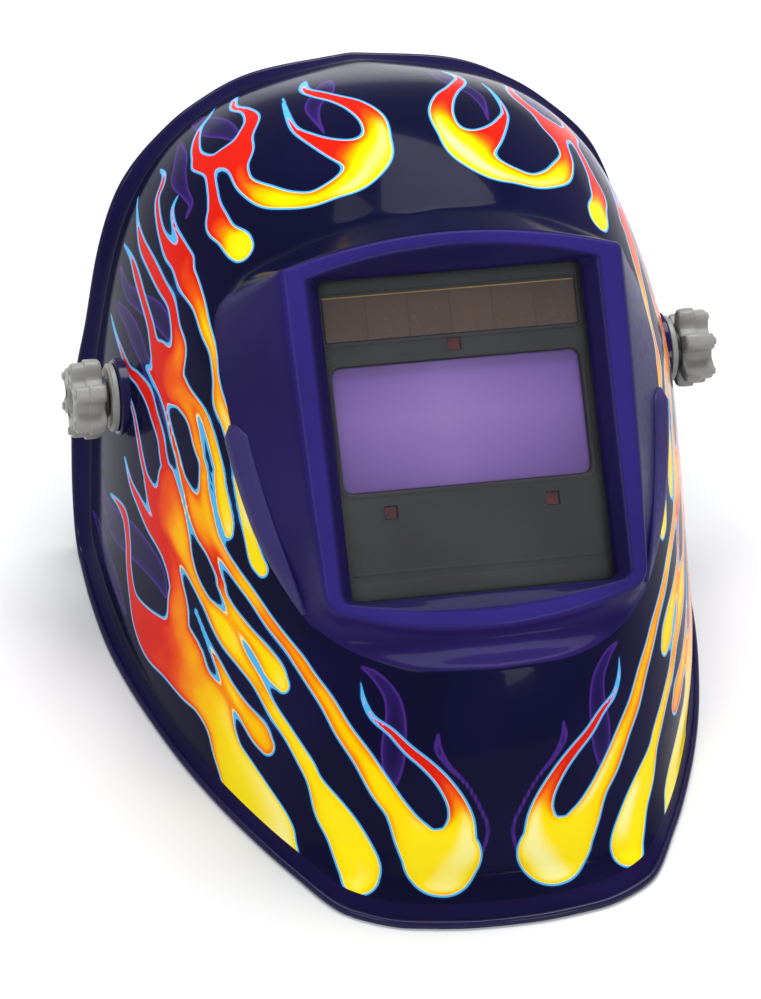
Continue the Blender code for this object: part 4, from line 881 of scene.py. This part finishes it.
def add_values(o, grid):
    rows, cols = grid.shape[:2]
    fd, heat, side, gd, paint, rim, inner, band = grid_values(grid)
    layers = {"flame_mm": fd, "flame_heat": heat, "flame_side": side, "ghost_mm": gd, "paint_mm": paint, "painted_shade_rim_flange": rim, "painted_shade_inner_slope": inner, "painted_light_frame_band": band}
    for name, values in layers.items():
        a = o.data.attributes.new(name, "FLOAT", "POINT")
        a.data.foreach_set("value", np.ascontiguousarray(values, dtype=np.float32))


rows, cols = G.shape[:2]
faces = grid_faces(rows, cols)
shell_obj = to_object("shell_skin", G.reshape(-1, 3), faces[:, ::-1])
add_values(shell_obj, G)
mirror_x(shell_obj)
mesh = shell_obj.data
middle = M_REST @ Vector((0, 0.02, -0.03))
mesh.update()
score = sum(f.normal.dot(f.center - middle) * f.area for f in mesh.polygons)
if score < 0:
    mesh.flip_normals()
mesh.materials.append(PAINT)
mesh.materials.append(INSIDE)
solid = shell_obj.modifiers.new("Solidify", "SOLIDIFY")
solid.thickness = 2.75 * MM
solid.offset = -1.0
solid.use_even_offset = True
solid.thickness_clamp = 1.0
solid.material_offset = 1
solid.material_offset_rim = 1
apply(shell_obj)
for sx in (1, -1):
    q = Matrix.Rotation(math.radians(90), 4, "Y")
    hole = lathe("hole", [(0, 98), (4.6, 98), (4.6, 126), (0, 126)], PAINT, M_REST @ Matrix.Rotation(math.radians(90 * sx), 4, "Y"), 40)
    cut_out(shell_obj, hole)
shell_obj.name = "shell_skin"
# nothing goes under the plane that the lower rim stands on
co = np.empty(len(shell_obj.data.vertices) * 3, np.float32)
shell_obj.data.vertices.foreach_get("co", co)
co = co.reshape(-1, 3)
co[:, 2] = np.maximum(co[:, 2], 0.0)
shell_obj.data.vertices.foreach_set("co", co.ravel())
sharp(shell_obj, 50)
stand_for(shell_obj, "visor", "shell_plastic", "visor_shell")

# the rolled bead all round the rim
edge = both(G[-1])
inward = unit(CENTRE - edge)
bead_line = edge + inward * 0.9
bead_rest = (np.array(M_REST)[:3, :3] @ (bead_line.T * MM)).T + np.array(M_REST)[:3, 3]
low = np.maximum(0, 0.0016 - bead_rest[:, 2]) / MM
lift = np.array(M_REST.to_3x3().inverted() @ Vector((0, 0, 1)))
bead_line = bead_line + low[:, None] * lift
for _ in range(3):
    bead_line = (np.roll(bead_line, 1, 0) + 2 * bead_line + np.roll(bead_line, -1, 0)) / 4
bead = tube("rim_bead", bead_line, 1.55, PURPLE, closed=True, sides=16)
stand_for(bead, "visor", "shell_plastic")


def fin_piece(name, side):
    """The grainy raised rib along the lower half of the window box's side."""
    zs = np.linspace(13, -64, 60)
    size = np.interp(zs, [-64, -58, -50, -40, -28, -16, -4, 8, 13], [0.15, 0.45, 0.7, 0.9, 1.0, 1.0, 1.0, 1.0, 0.3])
    line = run([(85.5, 56), (87, 35), (85, 3), (79, -30), (69.5, -61.6), (68, -66)], 60)[::-1]
    rows = []
    for z, kk in zip(zs, size):
        x = float(np.interp(z, line[:, 1], line[:, 0]))
        start = from_window([[x, 110.0, z]])
        hit = onto_skin(start, np.array([[0, -math.cos(LEAN), math.sin(LEAN)]]), 200)[0]
        y = 110.0 - float(np.linalg.norm(hit - start[0]))
        crest = np.array([x, y])
        facet = crest - np.array([66.2, -5.0])
        facet = facet / np.linalg.norm(facet)
        out = np.array([facet[1], -facet[0]])
        back = np.array([0.46, 0.89])
        off = np.array([0.89, -0.46])
        flat = [crest - facet * 7.0 * kk - out * 0.9, crest - facet * 7.0 * kk + out * 0.4, crest - facet * 2.5 * kk + out * 2.6 * kk,
                crest + out * 3.4 * kk, crest + back * 3.5 * kk + off * 2.6 * kk, crest + back * 6.0 * kk - off * 0.9, crest - (out + off) * 0.6]
        loop = catmull(np.array(flat + flat[:1]), 5)[:-1]
        rows.append(from_window([(side * p[0], p[1], z) for p in loop]))
    n = len(rows[0])
    pts = np.vstack(rows)
    faces = []
    for i in range(len(rows) - 1):
        for k in range(n):
            l = (k + 1) % n
            faces.append((i * n + k, i * n + l, (i + 1) * n + l, (i + 1) * n + k))
    faces += [tuple(range(n))[::-1], tuple((len(rows) - 1) * n + k for k in range(n))]
    o = to_object(name, pts, faces)
    fix_normals(o)
    return paint_with(sharp(o, 60), PURPLE_GRAIN)


for sx, word in ((1, "left"), (-1, "right")):
    stand_for(fin_piece("cheek_rib_" + word, sx), "visor", "shell_plastic")
    to_side = M_REST @ Matrix.Rotation(math.radians(90 * sx), 4, "Y")
    boss = lathe("pivot_boss_" + word, [(4.6, 107.2), (14.6, 107.2), (15.5, 108.0), (15.5, 113.5), (14.9, 114.2), (5.2, 114.2), (4.6, 113.7), (4.6, 107.2)], PURPLE, to_side)
    stand_for(boss, "visor", "shell_plastic")
    a = math.radians(51)
    peg = lathe("stop_peg_" + word, [(0, 103.3), (2.1, 103.3), (2.5, 103.7), (2.5, 110.6), (0, 110.6)], INSIDE, M_REST @ Matrix.Translation((0, -19 * math.cos(a) * MM, -19 * math.sin(a) * MM)) @ Matrix.Rotation(math.radians(90 * sx), 4, "Y"), 32)
    stand_for(peg, "visor", "shell_plastic")
    rail = join("lens_rail_" + word, box_piece("a", (3.2, 28, 20), (sx * 59, 10.5, 18), INSIDE, M_WIN), box_piece("b", (3.2, 28, 20), (sx * 59, 10.5, -18), INSIDE, M_WIN),
                box_piece("c", (3.2, 23.4, 16.4), (sx * 59, 8.2, 0), INSIDE, M_WIN, 0.3), box_piece("d", (3.2, 1.8, 16.4), (sx * 59, 23.6, 0), INSIDE, M_WIN, 0.3))
    stand_for(rail, "visor", "shell_plastic")
seat = ring_plate("lens_seat", round_rect(57.8, 67.3, 6), round_rect(52.7, 62.7, 3.2), 0.6, 3.0, INSIDE, 0.25)
stand_for(seat, "visor", "shell_plastic")

# ---------------------------------------------------------------- lens cartridge
CARTRIDGE = plastic("cartridge_plastic", (46, 46, 47), 0.5, 620.0, 0.00035, 0.55, 0.15)
RUBBER = plastic("gasket_rubber", (15, 15, 17), 0.42, 500.0, 0.0001, 0.2, 0.1)
COVER = plastic("control_cover_plastic", (31, 31, 34), 0.55, 700.0, 0.0003, 0.5)
GREY = plastic("grey_satin_plastic", (142, 142, 137), 0.36, 1000.0, 0.0001, 0.25, 0.08)
DARK_GREY = plastic("grey_bolt_plastic", (58, 58, 61), 0.42, 900.0, 0.0001, 0.25)
BAND = plastic("black_band_plastic", (34, 34, 37), 0.48, 700.0, 0.00025, 0.4)
ARM = plastic("black_arm_plastic", (36, 36, 39), 0.5, 650.0, 0.0003, 0.45)
RATCHET = plastic("black_ratchet_plastic", (38, 38, 41), 0.48, 700.0, 0.0002, 0.4)
RATCHET_KNOB = plastic("grey_ratchet_knob", (72, 72, 77), 0.42, 800.0, 0.0002, 0.35)
TRAY = plastic("black_tray_plastic", (37, 37, 40), 0.5, 800.0, 0.0002, 0.4)
BUTTON = plastic("red_button_plastic", (172, 34, 30), 0.35, 900.0, 0.0001, 0.2)
LATCH = plastic("grey_latch_plastic", (112, 112, 116), 0.4, 900.0, 0.0001, 0.25)


def clear_plastic(name, tint, alpha, rough=0.03):
    k = Mat(name, tint, rough, spec=0.8)
    k.b.inputs["Alpha"].default_value = alpha
    k.b.inputs["IOR"].default_value = 1.49
    hair = k.noise(900.0, 3.0)
    k.rough(k.span(hair, 0.55, 0.8, rough, rough + 0.10))
    k.bump(k.noise(35.0, 1.0), 0.03, 0.0001)
    return k.m


CLEAR = clear_plastic("clear_cover", (0.05, 0.052, 0.06, 1), 0.10)
CLEAR_INNER = clear_plastic("clear_inner_cover", (0.07, 0.07, 0.08, 1), 0.12)


def filter_material():
    k = Mat("violet_filter_glass", None, 0.08, coat=0.6, coat_rough=0.03)
    g = k.node("ShaderNodeTexCoord").outputs["Generated"]
    s = k.node("ShaderNodeSeparateXYZ")
    k.link(g, s.inputs[0])
    cx = k.math("ABSOLUTE", k.math("SUBTRACT", s.outputs[0], 0.45))
    cy = k.math("ABSOLUTE", k.math("SUBTRACT", s.outputs[1], 0.5))
    r = k.math("ADD", k.math("MULTIPLY", cx, 0.9), k.math("MULTIPLY", cy, 0.8))
    r = k.math("ADD", r, k.math("MULTIPLY", k.math("SUBTRACT", k.noise(30.0, 2.0), 0.5), 0.12))
    k.colour(k.ramp(r, [(0.0, srgb(154, 124, 196)), (0.35, srgb(138, 105, 184)), (0.7, srgb(116, 84, 164)), (1.0, srgb(98, 70, 142))]))
    k.rough(k.span(k.noise(500.0), 0.3, 0.7, 0.06, 0.12))
    return k.m


def solar_material():
    """Brown amorphous cells behind glass, in upright bands."""
    k = Mat("brown_solar_cell", None, 0.2, coat=0.35, coat_rough=0.06)
    s = k.node("ShaderNodeSeparateXYZ")
    k.link(k.coords(), s.inputs[0])
    x = s.outputs[0]
    band = k.math("FRACT", k.math("MULTIPLY", k.math("ADD", x, 0.0505), 1 / 0.01683))
    line = k.math("MULTIPLY", k.span(band, 0.0, 0.03), k.span(band, 1.0, 0.97))
    tone = k.math("FRACT", k.math("MULTIPLY", k.math("FLOOR", k.math("MULTIPLY", k.math("ADD", x, 0.0505), 1 / 0.01683)), 0.618))
    col = k.mix(k.span(tone, 0, 1), srgb(80, 60, 46), srgb(88, 66, 50))
    col = k.mix(k.span(k.noise(60.0), 0.3, 0.7), col, srgb(82, 64, 56))
    k.colour(k.mix(line, srgb(60, 46, 38), col))
    k.rough(k.span(k.noise(700.0), 0.3, 0.7, 0.16, 0.28))
    return k.m


FILTER, SOLAR = filter_material(), solar_material()
k = Mat("dark_red_sensor_window", srgb(72, 14, 20), 0.1, coat=0.6)
k.colour(k.mix(k.span(k.noise(260.0), 0.3, 0.7), srgb(60, 8, 14), srgb(96, 20, 28)))
SENSOR = k.m
k = Mat("thin_gold_line", srgb(178, 148, 84), 0.3, metal=0.8)
k.colour(k.mix(k.noise(400.0), srgb(168, 138, 76), srgb(192, 162, 98)))
GOLD = k.m
k = Mat("green_circuit_board", srgb(20, 82, 50), 0.45, coat=0.3)
k.colour(k.mix(k.span(k.noise(420.0, 2.0), 0.52, 0.56), srgb(20, 82, 50), srgb(34, 106, 64)))
BOARD = k.m
k = Mat("steel_coin_cell", srgb(188, 190, 196), 0.24, metal=1.0)
k.rough(k.span(k.noise(300.0), 0.3, 0.7, 0.18, 0.34))
CELL = k.m
k = Mat("fibre_washer", None, 0.88)
k.colour(k.mix(k.span(k.noise(700.0, 4.0), 0.35, 0.65), srgb(128, 118, 98), srgb(166, 156, 134)))
k.bump(k.noise(1100.0), 0.5, 0.0002)
WASHER = k.m


def detail(node, body, slot, mat, bevel=0.4, dissolve=1.0, crisp=38, segments=2):
    """The CAD node's own shape, welded, with its edges rounded and its curved faces shaded smooth."""
    src = frame["nodes"][node].data
    bm = bmesh.new()
    bm.from_mesh(src)
    bmesh.ops.remove_doubles(bm, verts=bm.verts, dist=3e-6)
    bmesh.ops.dissolve_limit(bm, angle_limit=math.radians(dissolve), verts=bm.verts, edges=bm.edges)
    bmesh.ops.recalc_face_normals(bm, faces=bm.faces)
    bm.verts.index_update()
    mesh = bpy.data.meshes.new(node + "_detail")
    mesh.from_pydata([v.co[:] for v in bm.verts], [], [[v.index for v in f.verts] for f in bm.faces])
    bm.free()
    o = bpy.data.objects.new(node + "_detail", mesh)
    scene.collection.objects.link(o)
    if bevel:
        m = o.modifiers.new("Bevel", "BEVEL")
        m.width, m.segments, m.limit_method, m.angle_limit = bevel * MM, segments, "ANGLE", math.radians(crisp - 4)
        m.use_clamp_overlap = True
        m.harden_normals = False
        apply(o)
    o.data.polygons.foreach_set("use_smooth", [True] * len(o.data.polygons))
    sharp(o, crisp)
    paint_with(o, mat)
    return stand_for(o, body, slot, node)


stand_for(ring_plate("gasket_ring", round_rect(56.5, 66, 4.5), round_rect(53.3, 63.3, 3), 3.3, 4.4, RUBBER, 0.3), "visor", "gasket_rubber", "lens_gasket")


def slab(name, outline, y0, y1, mat, bevel=0.4, matrix=M_WIN):
    """A flat plate in the window's plane."""
    n = len(outline)
    pts = [(x, y0, z) for x, z in outline] + [(x, y1, z) for x, z in outline]
    faces = [tuple(range(n)), tuple(range(2 * n - 1, n - 1, -1))] + [(i, n + i, n + (i + 1) % n, (i + 1) % n) for i in range(n)]
    o = to_object(name, pts, faces, matrix)
    fix_normals(o)
    if bevel:
        m = o.modifiers.new("Bevel", "BEVEL")
        m.width, m.segments, m.limit_method, m.angle_limit = bevel * MM, 3, "ANGLE", math.radians(50)
        apply(o)
    return paint_with(sharp(o, 40), mat)


stand_for(slab("cover_lens_sheet", round_rect(55.5, 65, 4, 8), 4.7, 5.7, CLEAR, 0.2), "visor", "cover_lens", "outer_cover_lens")
detail("cartridge_housing", "visor", "cartridge_plastic", CARTRIDGE, 0.3)
# the housing's own front: a raised rim round the filter, a step above the cells and a lip at the foot
FZ = 4.6
lip_out, lip_in = round_rect(51.3, 26.6, 4.6, 8, (0, FZ)), round_rect(49.9, 24.9, 4.0, 8, (0, FZ))
stand_for(ring_plate("filter_rim", lip_out, lip_in, 5.82, 6.6, CARTRIDGE, 0.25), "visor", "cartridge_plastic")
for name, size, at in (("cell_step", (104.0, 0.5, 1.0), (0, 5.95, 57.3)), ("cell_step_low", (104.0, 0.5, 0.9), (0, 5.95, 37.6)), ("foot_lip", (104.5, 0.7, 7.0), (0, 5.9, -58.2)),
                       ("foot_step", (100.0, 0.4, 1.2), (0, 6.0, -51.5))):
    stand_for(box_piece(name, size, at, CARTRIDGE, M_WIN, 0.18), "visor", "cartridge_plastic")
glass = slab("filter_pane", round_rect(49.5, 24.5, 3.6, 8, (0, FZ)), 8.6, 15.0, FILTER, 0.5)
stand_for(glass, "visor", "filter", "filter_glass")
stand_for(slab("solar_strip", round_rect(50.5, 8.5, 0.6, 3, (0, 47.5)), 6.25, 7.25, SOLAR, 0.15), "visor", "solar_cell", "solar_panel")
stand_for(box_piece("solar_line", (101.0, 0.25, 0.5), (0, 6.12, 56.2), GOLD, M_WIN, 0.08), "visor", "solar_cell")
for word, (x, z) in {"top": (0.0, 35.0), "left": (32.3, -28.5), "right": (-32.3, -28.5)}.items():
    well = join("sensor_window_" + word, slab("w", round_rect(2.5, 2.5, 0.7, 5, (x, z)), 6.7, 8.6, SENSOR, 0.3),
                ring_plate("r", round_rect(3.6, 3.6, 0.9, 5, (x, z)), round_rect(2.7, 2.7, 0.6, 5, (x, z)), 5.85, 6.5, CARTRIDGE, 0.15))
    stand_for(well, "visor", "sensor_window", "arc_sensor_" + word)
detail("inner_cover_lens", "visor", "inner_lens", CLEAR_INNER, 0.15)
detail("circuit_board", "visor", "board", BOARD, 0.1)
detail("control_cover", "visor", "cover_plastic", COVER, 0.4)
ring_at = M_WIN @ Matrix.Translation((0, 0, -48 * MM)) @ Matrix.Rotation(math.radians(-90), 4, "X")
for word, x in (("shade", 17), ("sensitivity", 0), ("delay", -17)):
    detail(word + "_dial", word + "_dial", "dial_plastic", GREY, 0.3)
    # plain ticks round each dial, with no figures
    ticks = []
    for i in range(11):
        a = math.radians(-135 + 27 * i)
        at = (x + 9.0 * math.sin(a), 19.65, -48 + 9.0 * math.cos(a))
        ticks.append(box_piece("t", (0.45, 0.16, 1.5), at, LATCH, M_WIN, 0.04, Matrix.Rotation(a, 4, "Y"), 1))
    stand_for(join(word + "_ticks", *ticks), "visor", "cover_plastic")
detail("test_button", "test_button", "button_plastic", BUTTON, 0.25)
for word, sx in (("left", 1), ("right", -1)):
    detail("battery_tray_" + word, "battery_tray_" + word, "tray_plastic", TRAY, 0.25)
    detail("battery_cell_" + word, "battery_tray_" + word, "cell_steel", CELL, 0.4)
    detail("retainer_latch_" + word, "retainer_latch_" + word, "latch_plastic", LATCH, 0.3)
detail("lens_retainer", "visor", "retainer_plastic", COVER, 0.4)

# ---------------------------------------------------------------- pivots
KNOB_R = 16.7


def star(q):
    return KNOB_R - 3.1 + 3.1 * math.tanh(2.2 * math.cos(6 * q)) / math.tanh(2.2)


def knob_shape(q, r, z):
    if r < 9.5:
        return r, z
    reach = star(q) * r / KNOB_R
    return reach, z


KNOB = [(8.0, 120.0), (14.4, 119.7), (15.8, 120.1), (16.4, 120.8), (16.7, 122.6), (16.7, 126.3), (16.45, 126.7), (15.75, 126.8), (15.6, 127.1), (15.6, 131.0), (15.2, 131.8), (14.2, 132.3), (11.0, 132.5), (8.3, 132.4),
        (7.4, 131.6), (6.6, 131.5), (6.0, 132.1), (5.6, 132.1), (5.3, 131.6), (5.2, 130.0), (4.35, 129.9), (4.35, 120.0), (8.0, 120.0)]
for sx, word in ((1, "left"), (-1, "right")):
    side_m = M_HEAD @ Matrix.Rotation(math.radians(90 * sx), 4, "Y")
    cap = lathe("cap", KNOB, GREY, side_m, 288, knob_shape, 30)
    hub = lathe("hub", [(4.35, 117.8), (8.1, 117.8), (8.5, 118.2), (8.5, 120.4), (4.35, 120.4), (4.35, 117.8)], DARK_GREY, side_m, 64)
    nubs = []
    for i in range(6):
        q = 2 * math.pi * i / 6
        at = Matrix.Translation((math.cos(q) * 12.9 * MM, math.sin(q) * 12.9 * MM, 0))
        nubs.append(lathe("n", [(0, 131.8), (1.7, 131.8), (1.7, 132.7), (1.35, 133.15), (0.6, 133.3), (0, 133.3)], GREY, side_m @ at, 24))
    stand_for(join("star_knob_" + word, cap, hub, *nubs), "tension_knob_" + word, "knob_plastic", "tension_knob_" + word)
    disc = lathe("spacer_disc_" + word, [(4.6, 114.5), (13.4, 114.5), (13.7, 114.8), (13.7, 116.3), (13.4, 116.6), (12.9, 116.7), (12.5, 117.2), (12.0, 117.3), (9.2, 117.3), (8.9, 117.0), (4.9, 117.0), (4.6, 116.7), (4.6, 114.5)],
                 GREY, side_m, 96)
    stand_for(disc, "headgear", "knob_plastic", "pivot_disc_" + word)
    detail("pivot_bolt_" + word, "headgear", "bolt_plastic", DARK_GREY, 0.25)
    washer = lathe("washer_" + word, [(4.6, 105.3), (12.7, 105.3), (13.0, 105.55), (13.0, 106.45), (12.7, 106.7), (4.6, 106.7), (4.6, 105.3)], WASHER, side_m, 64)
    stand_for(washer, "headgear", "washer_fibre", "friction_washer_" + word)
    detail("angle_stop_" + word, "headgear", "arm_plastic", ARM, 0.3)
    detail("pivot_arm_" + word, "headgear", "arm_plastic", ARM, 0.5)

# ---------------------------------------------------------------- headband and straps
BAND_PATH = [(0, -65), (22, -63), (45, -53), (63, -34), (74, -5), (77, 25), (75.5, 55), (69.5, 82), (60, 103), (52, 115), (44, 122), (36, 126), (30, 126.7), (25, 126.7)]


def band_z(y):
    return 38.0 - (y + 65.0) * 0.3125


def band_height(y):
    return 26.0 - (y + 65.0) * 0.052


def both_sides(half):
    return [(-x, y) for x, y in half[:0:-1]] + [tuple(p) for p in half]


def ribbon(name, rows, thickness, mat, bevel=0.5, matrix=M_HEAD, offset=0.0):
    """A strip of even thickness through rows of points, with rounded edges."""
    g = np.array(rows, float)
    r, n = g.shape[:2]
    o = to_object(name, g.reshape(-1, 3), grid_faces(r, n), matrix)
    m = o.modifiers.new("Solidify", "SOLIDIFY")
    m.thickness, m.offset, m.use_even_offset = thickness * MM, offset, True
    b = o.modifiers.new("Bevel", "BEVEL")
    b.width, b.segments, b.limit_method, b.angle_limit = bevel * MM, 3, "ANGLE", math.radians(50)
    apply(o)
    fix_normals(o)
    o.data.polygons.foreach_set("use_smooth", [True] * len(o.data.polygons))
    return paint_with(sharp(o, 45), mat)


half_band = run(BAND_PATH, 90)
band_line = both_sides(half_band.tolist())
HEIGHTS = (-1, -0.82, -0.76, 0.76, 0.82, 1)
rows = [[(x, y, band_z(y) + kk * band_height(y) / 2) for x, y in band_line] for kk in HEIGHTS]
band = ribbon("headband_strip", rows, 2.0, BAND, 0.5)
beads = []
for kk in (-0.88, 0.88):
    line = [(x, y, band_z(y) + kk * band_height(y) / 2) for x, y in band_line]
    beads.append(tube("b", line, 1.28, BAND, M_HEAD, 10))
stand_for(join("headband_moulding", band, *beads), "headgear", "band_plastic", "headband")

side_path = run([(74.9, 0), (74.9, 14), (73.2, 32), (67, 52), (54, 70), (34, 83.5), (16, 90.2), (0, 90.2), (-15, 90.2)], 70)
for side, word, drop in ((1, "left", 0.0), (-1, "right", 2.0)):
    pts = [(x, z - drop * min(1.0, max(0.0, (78 - x) / 62))) for x, z in side_path]
    rows = [[(side * x, y, z) for x, z in pts] for y in (20.0, 21.6, 34.4, 36.0)]
    strap = ribbon("s", rows, 1.6, BAND, 0.45)
    hole = lathe("h", [(0, 76), (2.8, 76), (2.8, 98), (0, 98)], BAND, M_HEAD @ Matrix.Translation((0, 28 * MM, 0)), 32)
    cut_out(strap, hole)
    strap.data.polygons.foreach_set("use_smooth", [True] * len(strap.data.polygons))
    strap.name = "crown_band_" + word
    stand_for(sharp(strap, 45), "headgear", "band_plastic", "crown_strap_" + word)
detail("crown_snap", "headgear", "band_plastic", BAND, 0.25)
top_path = run([(-67.7, 28), (-67.7, 44), (-63, 64), (-45, 82.5), (-15, 93.2), (28, 95.6), (62, 88), (92, 70.5), (110.5, 43.5), (121.5, 13), (128.6, -9.5)], 110)
rows = [[(x, y, z) for y, z in top_path] for x in (-8.0, -6.6, 6.6, 8.0)]
stand_for(ribbon("top_band", rows, 1.6, BAND, 0.45), "headgear", "band_plastic", "top_strap")

# ---------------------------------------------------------------- size ratchet
for name in ("ratchet_housing", "ratchet_cover"):
    detail(name, "headgear", "ratchet_plastic", RATCHET, 0.5)
detail("rack_tail_left", "rack_tail_left", "band_plastic", BAND, 0.2)
detail("rack_tail_right", "rack_tail_right", "band_plastic", BAND, 0.2)
detail("ratchet_pinion", "ratchet_knob", "ratchet_plastic", RATCHET, 0.15)


def grip_shape(q, r, z):
    if r < 9:
        return r, z
    return r * (16.2 + 0.8 * math.cos(12 * q)) / 17.0, z


dial_at = M_HEAD @ Matrix.Translation((0, 0, -22 * MM)) @ Matrix.Rotation(math.radians(-90), 4, "X")
grip = lathe("ratchet_grip", [(3.2, 135.0), (15.4, 134.9), (16.6, 135.5), (17.0, 136.4), (17.0, 143.6), (16.5, 145.3), (15.2, 146.4), (12.8, 146.7), (11.6, 146.2), (10.6, 145.2), (8.6, 144.9), (3.2, 144.9), (3.2, 135.0)],
             RATCHET_KNOB, dial_at, 240, grip_shape, 35)
stand_for(grip, "ratchet_knob", "ratchet_knob_plastic", "ratchet_knob")


# ---------------------------------------------------------------- cloth pads
def cloth_material(name, rgb, weave=1700.0):
    k = Mat(name, None, 0.92, sheen=0.35)
    where = k.coords()
    a = k.node("ShaderNodeTexWave", wave_type="BANDS", bands_direction="X")
    b = k.node("ShaderNodeTexWave", wave_type="BANDS", bands_direction="Z")
    for w in (a, b):
        w.inputs["Scale"].default_value = weave / 6.3
        w.inputs["Distortion"].default_value = 1.2
        w.inputs["Detail"].default_value = 1.0
        k.link(where, w.inputs["Vector"])
    thread = k.math("MULTIPLY", a.outputs["Fac"], b.outputs["Fac"])
    fuzz = k.noise(1300.0, 4.0)
    lo, hi = srgb(*[max(0, v - 8) for v in rgb]), srgb(*[v + 14 for v in rgb])
    col = k.mix(k.span(k.math("ADD", thread, k.math("MULTIPLY", fuzz, 0.4)), 0.2, 1.0), lo, hi)
    k.colour(k.mix(k.span(k.noise(40.0), 0.35, 0.75), col, srgb(*[v + 6 for v in rgb])))
    k.bump(k.math("ADD", thread, k.math("MULTIPLY", fuzz, 0.5)), 0.5, 0.0004)
    return k.m


TOWEL = cloth_material("black_towelling", (33, 33, 36))
KNIT = cloth_material("black_knit_cloth", (31, 31, 34), 2400.0)


def move_in(path, distance):
    p = np.array(path, float)
    t = np.gradient(p, axis=0)
    t /= np.linalg.norm(t, axis=1, keepdims=True)
    return p + np.stack([-t[:, 1], t[:, 0]], -1) * distance


def swell(o, voxel, pressure, cap, frames=20):
    """Voxel remesh, then a short cloth run under pressure. cap(points) returns how far each point may go."""
    m = o.modifiers.new("Remesh", "REMESH")
    m.mode, m.voxel_size = "VOXEL", voxel * MM
    apply(o)
    n = len(o.data.vertices)
    start = np.empty(n * 3)
    o.data.vertices.foreach_get("co", start)
    start = start.reshape(-1, 3)
    cl = o.modifiers.new("Cloth", "CLOTH")
    st = cl.settings
    st.quality = 6
    st.mass = 0.15
    st.tension_stiffness = 12
    st.compression_stiffness = 10
    st.bending_stiffness = 0.4
    st.use_pressure = True
    st.uniform_pressure_force = pressure
    st.effector_weights.gravity = 0
    cl.collision_settings.use_collision = False
    cl.point_cache.frame_start, cl.point_cache.frame_end = 1, frames
    for f in range(1, frames + 1):
        scene.frame_set(f)
    graph = bpy.context.evaluated_depsgraph_get()
    got = o.evaluated_get(graph).data
    moved = np.empty(len(got.vertices) * 3)
    got.vertices.foreach_get("co", moved)
    moved = moved.reshape(-1, 3)
    o.modifiers.clear()
    scene.frame_set(1)
    if len(moved) == n and np.isfinite(moved).all():
        go = moved - start
        far = np.linalg.norm(go, axis=1, keepdims=True)
        most = cap(start)[:, None]
        end = start + go * np.minimum(1, most / np.maximum(far, 1e-9))
        o.data.vertices.foreach_set("co", end.ravel())
        print("cloth", o.name, n, "points, moved up to %.2f mm" % (1000 * float(np.minimum(far, most).max())))
    m = o.modifiers.new("Smooth", "SMOOTH")
    m.factor, m.iterations = 0.5, 4
    m = o.modifiers.new("Subdivision", "SUBSURF")
    m.levels = m.render_levels = 1
    apply(o)
    o.data.polygons.foreach_set("use_smooth", [True] * len(o.data.polygons))
    return o


# brow band: its back lies on the headband, so it grows towards the forehead and not the other way
front = np.array([p for p in move_in(band_line, 4.3) if p[1] < -18.6])
inner = move_in(front.tolist(), 1.0) - front
rows = [[(x, y, band_z(y) + kk * 13.6) for x, y in front] for kk in (-1, -0.5, 0, 0.5, 1)]
pad = ribbon("sweatband_pad", rows, 4.1, TOWEL, 1.2)
m_inv = np.array(M_HEAD.inverted())
f_line = front


def brow_cap(pts):
    p = (pts @ m_inv[:3, :3].T + m_inv[:3, 3]) / MM
    d = p[:, None, :2] - f_line[None, :, :]
    i = (d ** 2).sum(2).argmin(1)
    off = p[:, :2] - f_line[i]
    side = (off * inner[i]).sum(1)
    return np.where(side > 0.3, 2.0, np.where(side > -0.6, 0.9, 0.35)) * MM


swell(pad, 2.6, 4.0, brow_cap)
paint_with(pad, TOWEL)
line_out = np.array([(x, y, band_z(y) - 13.9) for x, y in move_in(front.tolist(), 0.2)])
line_top = line_out + np.array([0, 0, 27.8])
seam = unit(move_in(front.tolist(), 1.0) - front)
stitches = []
for kk in (-11.2, 11.2):
    line = np.array([(x, y, band_z(y) + kk) for x, y in move_in(front.tolist(), 3.3)])
    d = np.concatenate([[0], np.cumsum(np.linalg.norm(np.diff(line, axis=0), axis=1))])
    for a in np.arange(4, d[-1] - 4, 4.2):
        q = np.linspace(a, a + 2.6, 5)
        seg = np.stack([np.interp(q, d, line[:, j]) for j in range(3)], -1)
        stitches.append(seg)
THREAD = cloth_material("grey_thread", (78, 78, 82), 3000.0)


def on_surface(o, seg, way):
    """Lays a short run of thread on the piece's surface."""
    out = []
    for p in seg:
        w = M_HEAD @ (Vector(p) * MM)
        hit, at, nrm, _ = o.closest_point_on_mesh(w)
        out.append(np.array(M_HEAD.inverted() @ (at + nrm * 0.00012)) / MM)
    return np.array(out)


threads = [tube("t", on_surface(pad, s, None), 0.28, THREAD, M_HEAD, 6) for s in stitches]
stand_for(pad, "headgear", "brow_cloth", "sweatband")
thread_obj = join("sweatband_stitching", *threads)
stand_for(thread_obj, "headgear", "brow_cloth")

nape = box_piece("nape_cushion", (56.6, 4.0, 22.6), (0, 122.2, -22.0), KNIT, M_HEAD, 1.4)


def nape_cap(pts):
    p = (pts @ m_inv[:3, :3].T + m_inv[:3, 3]) / MM
    return np.where(p[:, 1] < 121.5, 1.9, np.where(p[:, 1] < 123.0, 0.7, 0.3)) * MM


swell(nape, 2.2, 4.0, nape_cap)
paint_with(nape, KNIT)
stand_for(nape, "headgear", "nape_cloth", "nape_pad")

size = {"cad": CAD_BOX, "visual": [list(v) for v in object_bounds()]}
